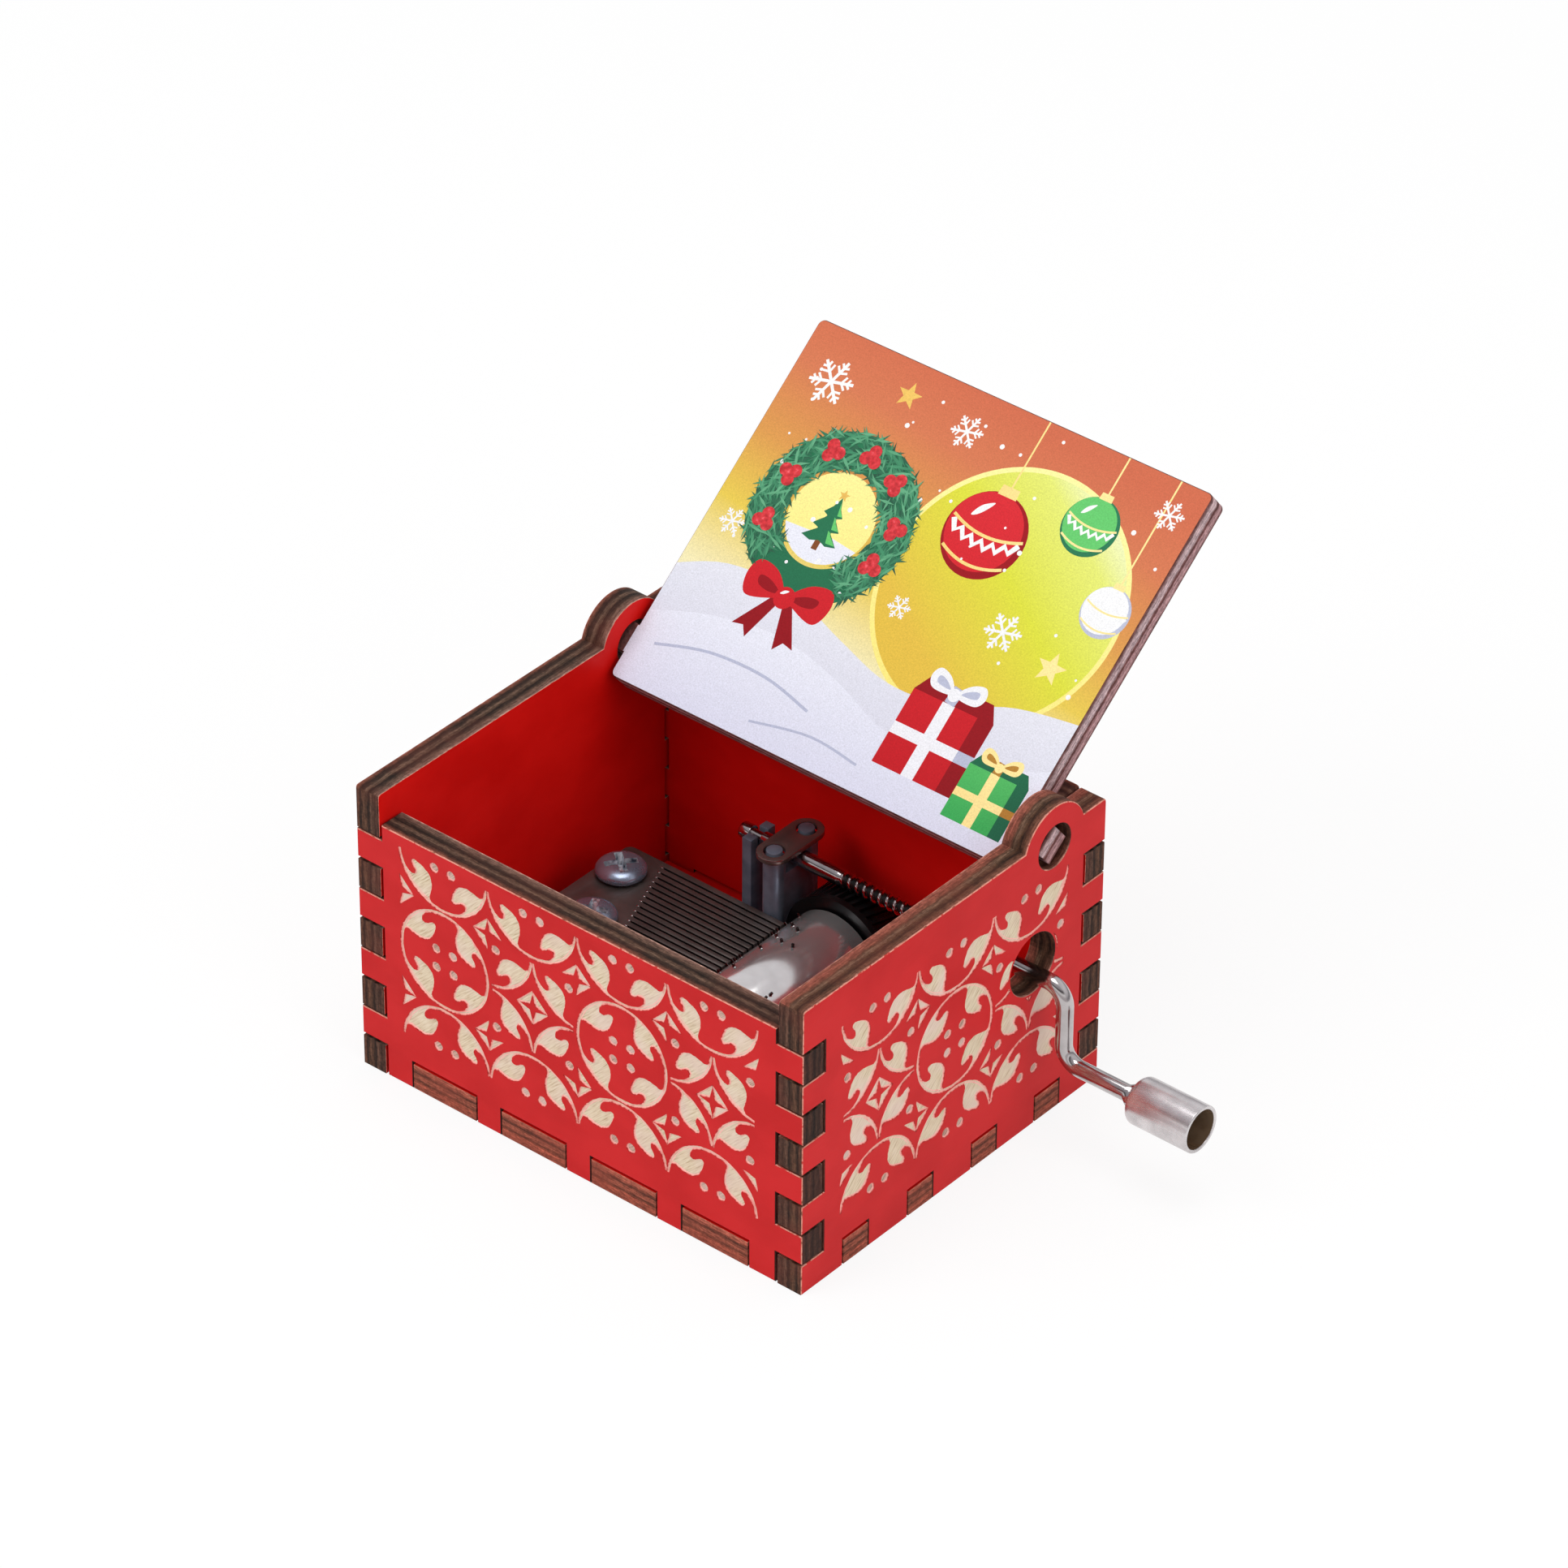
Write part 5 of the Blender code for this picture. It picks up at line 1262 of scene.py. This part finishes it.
def refinish(piece, finish, chosen):
    """Gives another finish to the faces that the test chooses by middle (mm) and normal."""
    piece.data.materials.append(finish)
    for face in piece.data.polygons:
        if chosen(face.center / MM, face.normal):
            face.material_index = 1


def skin(made, here, there):
    """Joins two rings of points by faces. Where one ring is a single point, by triangles."""
    for corners in zip(here, there, there[1:] + there[:1], here[1:] + here[:1]):
        made.faces.new(list(dict.fromkeys(corners)))


def turned(profile, sides, origin, axis):
    """A profile of (along, radius) in mm turned about an axis. It starts and ends on the
    axis, or else it is closed."""
    made = bmesh.new()
    along, origin = Vector(axis), Vector(origin)
    across = Z if abs(along.z) < 0.5 else X
    third = along.cross(across)
    rings = []
    for reach, radius in profile:
        if radius == 0:
            rings.append([made.verts.new((origin + along * reach) * MM)] * sides)
            continue
        angles = [2 * math.pi * k / sides for k in range(sides)]
        outs = [across * math.cos(angle) + third * math.sin(angle) for angle in angles]
        rings.append([made.verts.new((origin + along * reach + out * radius) * MM)
                      for out in outs])
    for here, there in zip(rings, rings[1:] + ([] if profile[0][1] == 0 else rings[:1])):
        skin(made, here, there)
    return made


def softened(node, width, finish, slot, name):
    """A copy of a CAD solid with its edges rounded."""
    made = bmesh.new()
    made.from_mesh(nodes[node].data)
    bmesh.ops.remove_doubles(made, verts=made.verts, dist=0.001 * MM)
    bmesh.ops.dissolve_limit(made, angle_limit=math.radians(1), verts=made.verts, edges=made.edges)
    sharp = [edge for edge in made.edges
             if len(edge.link_faces) == 2 and edge.calc_face_angle() > math.radians(35)]
    bmesh.ops.bevel(made, geom=sharp, offset=width * MM, segments=2, profile=0.5,
                    affect="EDGES", clamp_overlap=True)
    return keep_shape(name, made, finish, node, slot, "case", 30)


# %% [markdown]
# ## Casting, comb and riveted plate
#
# The casting and the comb have the small round edges of a tumbled part. The walls of the
# comb's slots are near black as painted shade, and the plate's rubbed edges that look up
# are bright nickel, partly as a painted highlight.

# %% Softened solids
softened("bedplate", 0.15, CAST_ZINC, "cast_zinc", "movement_casting")
comb = softened("comb", 0.05, COMB_STEEL, "comb_steel", "steel_comb")
comb_low, comb_high = (Vector(corner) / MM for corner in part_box("comb"))
# Painted shade: the walls of the slots take the near-black finish.
refinish(comb, GROOVE_SHADE, lambda middle, normal: abs(normal.z) < 0.5
         and comb_low.x + 1 < middle.x < comb_high.x - 0.1
         and comb_low.y + 0.2 < middle.y < comb_high.y - 0.2)
plate = softened("shaft_retainer", 0.10, BROWNED_STEEL, "spring_steel", "riveted_plate")
# Painted highlight on real rubbing: the bevels that look up take bright nickel, the others stay
# browned.
refinish(plate, NICKEL, lambda middle, normal: 0.2 < normal.z < 0.95)

# %% [markdown]
# The laser or saw leaves a small burr at the root of each slot of the comb. They are one
# flattened bead, set on seventeen points, in nickel brighter than the comb's steel as a
# painted glint.

# %% Burrs at the roots of the slots
TEETH, TOOTH_PITCH = 18, 0.912
TIP_X, FIRST_TOOTH_LONG, LAST_TOOTH_LONG = -0.349, 17.2, 11.4
BURR_BACK, BURR_SHAPE = 0.30, (1.5, 0.9, 0.5)
tree, given = new_tree("burrs_on_points", {"Burr Radius": "Float"})
bead = add(tree, "GeometryNodeMeshUVSphere", {"Segments": 8, "Rings": 6,
                                              "Radius": given["Burr Radius"]})
beads = add(tree, "GeometryNodeInstanceOnPoints", {
    "Points": given["Geometry"], "Instance": bead, "Scale": BURR_SHAPE})
# The burrs take bright nickel, lighter than the comb, as painted glints.
end_tree(tree, beads, NICKEL)
comb_back, comb_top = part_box("comb")[1][1:]
roots = []
for slot in range(1, TEETH):
    share = (slot - 0.5) / (TEETH - 1)
    root = TIP_X - FIRST_TOOTH_LONG + (FIRST_TOOTH_LONG - LAST_TOOTH_LONG) * share
    roots.append(((root - BURR_BACK) * MM, comb_back - TOOTH_PITCH * slot * MM, comb_top))
root_mesh = bpy.data.meshes.new("slot_roots")
root_mesh.from_pydata(roots, [], [])
burrs = grown("slot_burrs", root_mesh, tree, {"Burr Radius": 0.13 * MM})
claim(burrs, "comb_steel", "case")

# %% [markdown]
# ## Cylinder with pins
#
# The cylinder is a thin nickel-plated tube. Five pins stand in each of the eighteen
# tracks. Their places follow the same fixed tune as the solids do. One tree sets a small
# pin with a rounded end and a tiny burr at its foot on each place.
# The pins are dark as painted shade round their feet.

# %% Tube
AXLE = Vector((6.15, 0, 12.45))
CYLINDER_RADIUS, SHELL, CYLINDER_SIDES = 6.0, 0.6, 160
CYLINDER_FRONT, CYLINDER_BACK = -7.3, 10.7
TUBE_EDGE = ((0.0, 0.12), (0.04, 0.04), (0.12, 0.0))
front_end = [(CYLINDER_FRONT + back, CYLINDER_RADIUS - down) for back, down in TUBE_EDGE]
back_end = [(CYLINDER_BACK - back, CYLINDER_RADIUS - down) for back, down in reversed(TUBE_EDGE)]
tube = turned([(CYLINDER_FRONT, CYLINDER_RADIUS - SHELL), *front_end, *back_end,
               (CYLINDER_BACK, CYLINDER_RADIUS - SHELL)], CYLINDER_SIDES, AXLE, Y)
keep_shape("cylinder_tube", tube, CYLINDER_NICKEL, "pinned_cylinder", "nickel_plate", "cylinder")

# %% Places of the pins
FIRST_TRACK = 9.75
STEPS, PINS_IN_TRACK, TUNE = 48, 5, 18
tune = random.Random(TUNE)
pin_places, pin_angles = [], []
for track in range(TEETH):
    for step in sorted(tune.sample(range(0, STEPS, 2), PINS_IN_TRACK)):
        angle = 2 * math.pi * (step + 0.5) / STEPS
        out = Vector((math.sin(angle), 0, math.cos(angle)))
        y = FIRST_TRACK - TOOTH_PITCH * (track + 0.5)
        pin_places.append((AXLE + out * CYLINDER_RADIUS + Vector((0, y, 0))) * MM)
        pin_angles.append(angle)
pin_mesh = bpy.data.meshes.new("pin_places")
pin_mesh.from_pydata(pin_places, [], [])
pin_mesh.attributes.new("angle", "FLOAT", "POINT").data.foreach_set("value", pin_angles)

# %% Pins
PIN_STAGES = ((-0.20, 0.08, 1.9, 1.15), (0.0, 0.86, 1.0, 1.0), (0.86, 1.0, 1.0, 0.62))
tree, given = new_tree("pins_on_a_cylinder", {"Pin Radius": "Float", "Pin Length": "Float"})


def pin_stage(tree, given, low, high, low_share, high_share):
    """A short cone between two heights. All four are shares of the pin's own measures."""
    wide_top, wide_foot, long, start = (
        add(tree, "ShaderNodeMath", {0: given[measure], 1: share}, operation="MULTIPLY")
        for measure, share in (("Pin Radius", high_share), ("Pin Radius", low_share),
                               ("Pin Length", high - low), ("Pin Length", low)))
    cone = add(tree, "GeometryNodeMeshCone", {
        "Vertices": 10, "Radius Top": wide_top, "Radius Bottom": wide_foot, "Depth": long},
        fill_type="NGON")
    return add(tree, "GeometryNodeTransform", {
        "Geometry": cone, "Translation": add(tree, "ShaderNodeCombineXYZ", {"Z": start})})


foot, shank, tip = (pin_stage(tree, given, *stage) for stage in PIN_STAGES)
foot = add(tree, "GeometryNodeStoreNamedAttribute", {
    "Geometry": foot, "Name": "burr", "Value": True}, data_type="BOOLEAN", domain="FACE")
whole_pin = add(tree, "GeometryNodeJoinGeometry")
for stage in (foot, shank, tip):
    join(tree, whole_pin, {0: stage})
pin_angle = add(tree, "GeometryNodeInputNamedAttribute", {"Name": "angle"}, data_type="FLOAT")
stood = add(tree, "GeometryNodeInstanceOnPoints", {
    "Points": given["Geometry"], "Instance": whole_pin,
    "Rotation": add(tree, "ShaderNodeCombineXYZ", {"Y": pin_angle})})
# The pins take dark steel as painted shade.
end_tree(tree, stood, PIN_STEEL, "burr", NICKEL)
pins = grown("cylinder_pins", pin_mesh, tree, {"Pin Radius": 0.18 * MM, "Pin Length": 0.48 * MM})
claim(pins, "nickel_plate", "cylinder")

# %% [markdown]
# ## Screws
#
# Two pan-head screws hold the comb, and three sunk ones hold the casting from below. Each
# head is turned, and its cross recess is cut with tapering wings. One tree sets the model
# on its places.

# %% Cutting a cross recess
WING_TOP_SHARE, WING_FOOT_SHARE = 1.42, 0.50


def cross_wing(long, narrow, top, depth):
    """A tapering bar for the recess: wide at the top, narrow at its foot."""
    made = bmesh.new()
    high, low = ([made.verts.new((x * share * MM, y * share * MM, height * MM))
                  for x, y in ((-long, -narrow), (long, -narrow), (long, narrow), (-long, narrow))]
                 for height, share in ((top + depth, WING_TOP_SHARE),
                                       (top - depth, WING_FOOT_SHARE)))
    made.faces.new(high)
    made.faces.new(low[::-1])
    for corners in zip(high, high[1:] + high[:1], low[1:] + low[:1], low):
        made.faces.new(corners)
    bmesh.ops.recalc_face_normals(made, faces=made.faces)
    return mesh_of("wing", made)


def cut_by(piece, tool_mesh):
    """Cuts a shape out of a piece and keeps the plain result."""
    tool = in_scene("tool", tool_mesh)
    modifier = piece.modifiers.new("cut", "BOOLEAN")
    modifier.operation, modifier.solver, modifier.object = "DIFFERENCE", "EXACT", tool
    plain_result(piece)
    bpy.data.objects.remove(tool)


def head_height(profile, reach):
    """How high the turned profile stands at a distance from the axis."""
    best = profile[-1][0]
    for (low, near), (high, far) in zip(profile, profile[1:]):
        if min(near, far) <= reach <= max(near, far) and near != far:
            best = max(low + (high - low) * (reach - near) / (far - near), 0.0)
    return best


# %% Screw heads
def screw_model(name, profile, recess_long, recess_narrow, top, depth):
    made = turned(profile, 64, (0, 0, 0), Z)
    bmesh.ops.recalc_face_normals(made, faces=made.faces)
    piece = in_scene(name, mesh_of(name, made))
    for long, narrow in ((recess_long, recess_narrow), (recess_narrow, recess_long)):
        cut_by(piece, cross_wing(long, narrow, top, depth))
    in_recess = []
    for face in piece.data.polygons:
        middle = face.center / MM
        reach = math.hypot(middle.x, middle.y)
        in_recess.append(reach < recess_long * 1.1 and face.normal.z > -0.5
                         and top - depth - 0.1 < middle.z < head_height(profile, reach) - 0.08)
    marks = piece.data.attributes.new("recess", "BOOLEAN", "FACE")
    marks.data.foreach_set("value", in_recess)
    print(name, "faces", len(in_recess), "of them in the recess", sum(in_recess))
    smooth_but_for_edges(piece.data, 32)
    return piece


PAN_HEAD = [(-4.5, 0), (-4.5, 0.9), (-4.4, 1.0), (-0.05, 1.0), (0.0, 1.1), (0.0, 2.84),
            (0.06, 2.92), (0.18, 2.98), (0.34, 3.0), (0.50, 2.98), (0.68, 2.91), (0.86, 2.78),
            (1.02, 2.60), (1.16, 2.36), (1.27, 2.08), (1.34, 1.76), (1.38, 1.4), (1.40, 1.0),
            (1.40, 0)]
SUNK_HEAD = [(-7.0, 0), (-7.0, 0.9), (-6.9, 1.0), (-1.0, 1.0), (-0.06, 1.94), (0.0, 1.96), (0.0, 0)]
pan_screw = screw_model("pan_screw", PAN_HEAD, 2.1, 0.50, 1.4, 1.25)
sunk_screw = screw_model("sunk_screw", SUNK_HEAD, 1.3, 0.28, 0.0, 0.6)

# %% Screws on their places
COMB_SCREW_SEAT = 14.9
tree, given = new_tree("screws_on_places", {"Screw": "Object"})
model = add(tree, "GeometryNodeObjectInfo", {"Object": given["Screw"]}).outputs["Geometry"]
screw_turn = add(tree, "GeometryNodeInputNamedAttribute", {"Name": "turn"},
                 data_type="FLOAT_VECTOR")
driven = add(tree, "GeometryNodeInstanceOnPoints", {
    "Points": given["Geometry"], "Instance": model, "Rotation": screw_turn})
# The recess takes painted shade and glints.
end_tree(tree, driven, SCREW_ZINC, "recess", RECESS_PAINTED_GLINTS)


def drive_screws(name, template, solid, tilt, headings, seat=None):
    """Sets the screw over the middle of each numbered solid, at the seat's height or at the
    solid's lower end. Each one has its own heading in degrees."""
    replaced = ["%s_%d" % (solid, number + 1) for number in range(len(headings))]
    places = []
    for low, high in map(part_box, replaced):
        middle = [(a + b) / 2 / MM for a, b in zip(low, high)]
        places.append(Vector((*middle[:2], low[2] / MM if seat is None else seat)) * MM)
    mesh = bpy.data.meshes.new(name + "_places")
    mesh.from_pydata(places, [], [])
    flat = [angle for degrees in headings for angle in (tilt, 0, math.radians(degrees))]
    mesh.attributes.new("turn", "FLOAT_VECTOR", "POINT").data.foreach_set("vector", flat)
    piece = grown(name, mesh, tree, {"Screw": template})
    bpy.data.objects.remove(template)
    claim(piece, "zinc_plated_steel", "case", *replaced)


drive_screws("comb_screws", pan_screw, "comb_screw", 0, (24, 52), COMB_SCREW_SEAT)
drive_screws("bedplate_screws", sunk_screw, "bedplate_screw", math.pi, (10, 65, 33))

# %% [markdown]
# ## Crank wire and knob
#
# The crank is one wire bent twice, with its worm rolled into it. Its surface is drawn as
# rings along the bent line, twenty-four to a turn in the thread. The knob is a
# short cup of thin tube, open at its outer end.

# %% Thread and pinched ears
CRANK_AXIS = Vector((0, 14.2, 20.536113))
WIRE, THREAD_ROOT, THREAD_PITCH = 1.0, 0.64, 1.09
WORM_START, WORM_TURNS = 3.95, 11
WORM_END = WORM_START + WORM_TURNS * THREAD_PITCH
EAR_TURN = math.radians(-35)
RINGS, SIDES = 24, 40


def between_0_and_1(*values):
    return max(0.0, min(1.0, *values))


def thread_radius(x, angle):
    """A round crest and a round root, and a thread that runs out at both ends."""
    turns = (x - AXLE.x) / THREAD_PITCH - angle / (2 * math.pi) - 0.25
    off = abs(turns - round(turns))
    rise = between_0_and_1((0.25 - off) / 0.15)
    fade = between_0_and_1((x - WORM_START) / THREAD_PITCH, (WORM_END - x) / THREAD_PITCH)
    return THREAD_ROOT + (WIRE - THREAD_ROOT) * max(rise * rise * (3 - 2 * rise), 1 - fade)


def wire_radius(x, angle, radius):
    """The radius at one point: the thread's, the two pinched ears' or the plain one."""
    if radius is None:
        return thread_radius(x, angle)
    if radius < 0:
        return WIRE - radius * (1.6 * abs(math.cos(angle + EAR_TURN)) ** 3 - 0.6)
    return radius


# %% Line of the wire
ARM_AT, ARM_DOWN, BEND, BEND_STEPS = 36.0, 9.8, 2.4, 16
TAIL_AND_NECK = ((-10.3, 0.80), (-10.24, 0.92), (-10.1, 1.0), (-8.9, 1.0), (-8.82, 0.97),
                 (-8.8, 0.9), (-8.8, 0.7), (-7.1, 0.7), (-7.1, 0.9), (-7.08, 0.97), (-7.0, 1.0),
                 (WORM_START, 1.0))
EARS_AND_HEAD = ((44.9, 1.0), (45.1, -0.10), (45.3, -0.26), (45.5, -0.38), (45.7, -0.40),
                 (45.95, -0.40), (46.08, -0.30), (46.1, 1.0), (47.15, 1.0), (47.15, 1.5),
                 (47.2, 1.6), (47.6, 1.6), (47.8, 1.5), (48.1, 1.2), (48.3, 0.7), (48.35, 0.4))


def wire_line():
    """Centre, tangent and radius along the wire. The radius is None in the thread, and
    minus the ears' reach where the wire is pinched in front of the knob."""
    made = [(X * x, X, radius) for x, radius in TAIL_AND_NECK]
    made += [(X * (WORM_START + k * THREAD_PITCH / RINGS), X, None)
             for k in range(1, WORM_TURNS * RINGS)]
    made.append((X * WORM_END, X, WIRE))
    for middle, first, last in ((Vector((ARM_AT - BEND, 0, -BEND)), 90, 0),
                                (Vector((ARM_AT + BEND, 0, BEND - ARM_DOWN)), 180, 270)):
        way = 1 if last > first else -1
        for k in range(BEND_STEPS + 1):
            angle = math.radians(first + (last - first) * k / BEND_STEPS)
            made.append((middle + BEND * Vector((math.cos(angle), 0, math.sin(angle))),
                         way * Vector((-math.sin(angle), 0, math.cos(angle))), WIRE))
    return made + [(Vector((x, 0, -ARM_DOWN)), X, radius) for x, radius in EARS_AND_HEAD]


# %% Crank wire
made = bmesh.new()
rings = []
for centre, tangent, radius in wire_line():
    upward = tangent.cross(Y)
    ring = []
    for angle in (2 * math.pi * k / SIDES for k in range(SIDES)):
        reach = wire_radius(centre.x, angle, radius)
        offset = Y * math.cos(angle) + upward * math.sin(angle)
        ring.append(made.verts.new((CRANK_AXIS + centre + offset * reach) * MM))
    rings.append(ring)
for here, there in zip(rings, rings[1:]):
    skin(made, here, there)
made.faces.new(rings[0])
made.faces.new(rings[-1][::-1])
wire = keep_shape("crank_wire", made, NICKEL, "crank_shaft", "nickel_plate", "crank", 50)
# Painted shade: the thread's roots take the same near-black finish.
refinish(wire, GROOVE_SHADE, lambda middle, normal: WORM_START < middle.x < WORM_END
         and (middle - CRANK_AXIS).yz.length < THREAD_ROOT + 0.08)

# %% Knob
KNOB_START, KNOB_SIDES = 46.4, 96
KNOB_AXIS = CRANK_AXIS + Vector((KNOB_START, 0, -ARM_DOWN))
KNOB_LONG, KNOB_RADIUS, KNOB_SHELL, KNOB_ROUND, LIP = 8.7, 2.85, 0.45, 0.8, 0.12
KNOB_HOLE = WIRE + 0.3
KNOB_BORE = KNOB_RADIUS - KNOB_SHELL


def corner_arc(along, radius, size, first, last, steps):
    angles = [math.radians(first + (last - first) * k / steps) for k in range(steps + 1)]
    return [(along + size * math.cos(a), radius + size * math.sin(a)) for a in angles]


cup = [(0, KNOB_HOLE),
       *corner_arc(KNOB_ROUND, KNOB_RADIUS - KNOB_ROUND, KNOB_ROUND, 180, 90, 8),
       *corner_arc(KNOB_LONG - LIP, KNOB_RADIUS - LIP, LIP, 90, 0, 4),
       *corner_arc(KNOB_LONG - LIP, KNOB_BORE + LIP, LIP, 0, -90, 4),
       *corner_arc(KNOB_ROUND, KNOB_BORE - KNOB_ROUND + KNOB_SHELL, KNOB_ROUND - KNOB_SHELL,
                   90, 180, 5),
       (KNOB_SHELL, KNOB_HOLE)]
knob = keep_shape("knob_sleeve", turned(cup, KNOB_SIDES, KNOB_AXIS, X), SLEEVE_NICKEL, "crank_knob",
                  "nickel_plate", "knob")


def in_the_bore(middle, normal):
    away = middle - KNOB_AXIS
    inside = away.yz.length < KNOB_BORE - 0.001 or normal.dot(away) < -1
    return inside and away.x > KNOB_SHELL - 0.01


refinish(knob, TUBE_INSIDE, in_the_bore)

# %% [markdown]
# ## Parts that keep their solids
#
# The wheel, the end cap, the arbor, the weights and the dampers show only from close by,
# so they keep the solid's own shape and take a finish.

# %% Finishes on the remaining solids
KEPT = {"worm_gear": BLACK_NYLON, "cylinder_cap": BLACK_NYLON, "cylinder_core": BROWN_RESIN,
        "cylinder_arbor": SCREW_ZINC}
for number in range(1, 10):
    KEPT["comb_weight_%d" % number] = LEAD
    KEPT["tooth_damper_%d" % number] = DAMPER_FILM
for node, finish in KEPT.items():
    nodes[node].data.materials.clear()
    nodes[node].data.materials.append(finish)
print("solids with a finish of their own", len(KEPT))
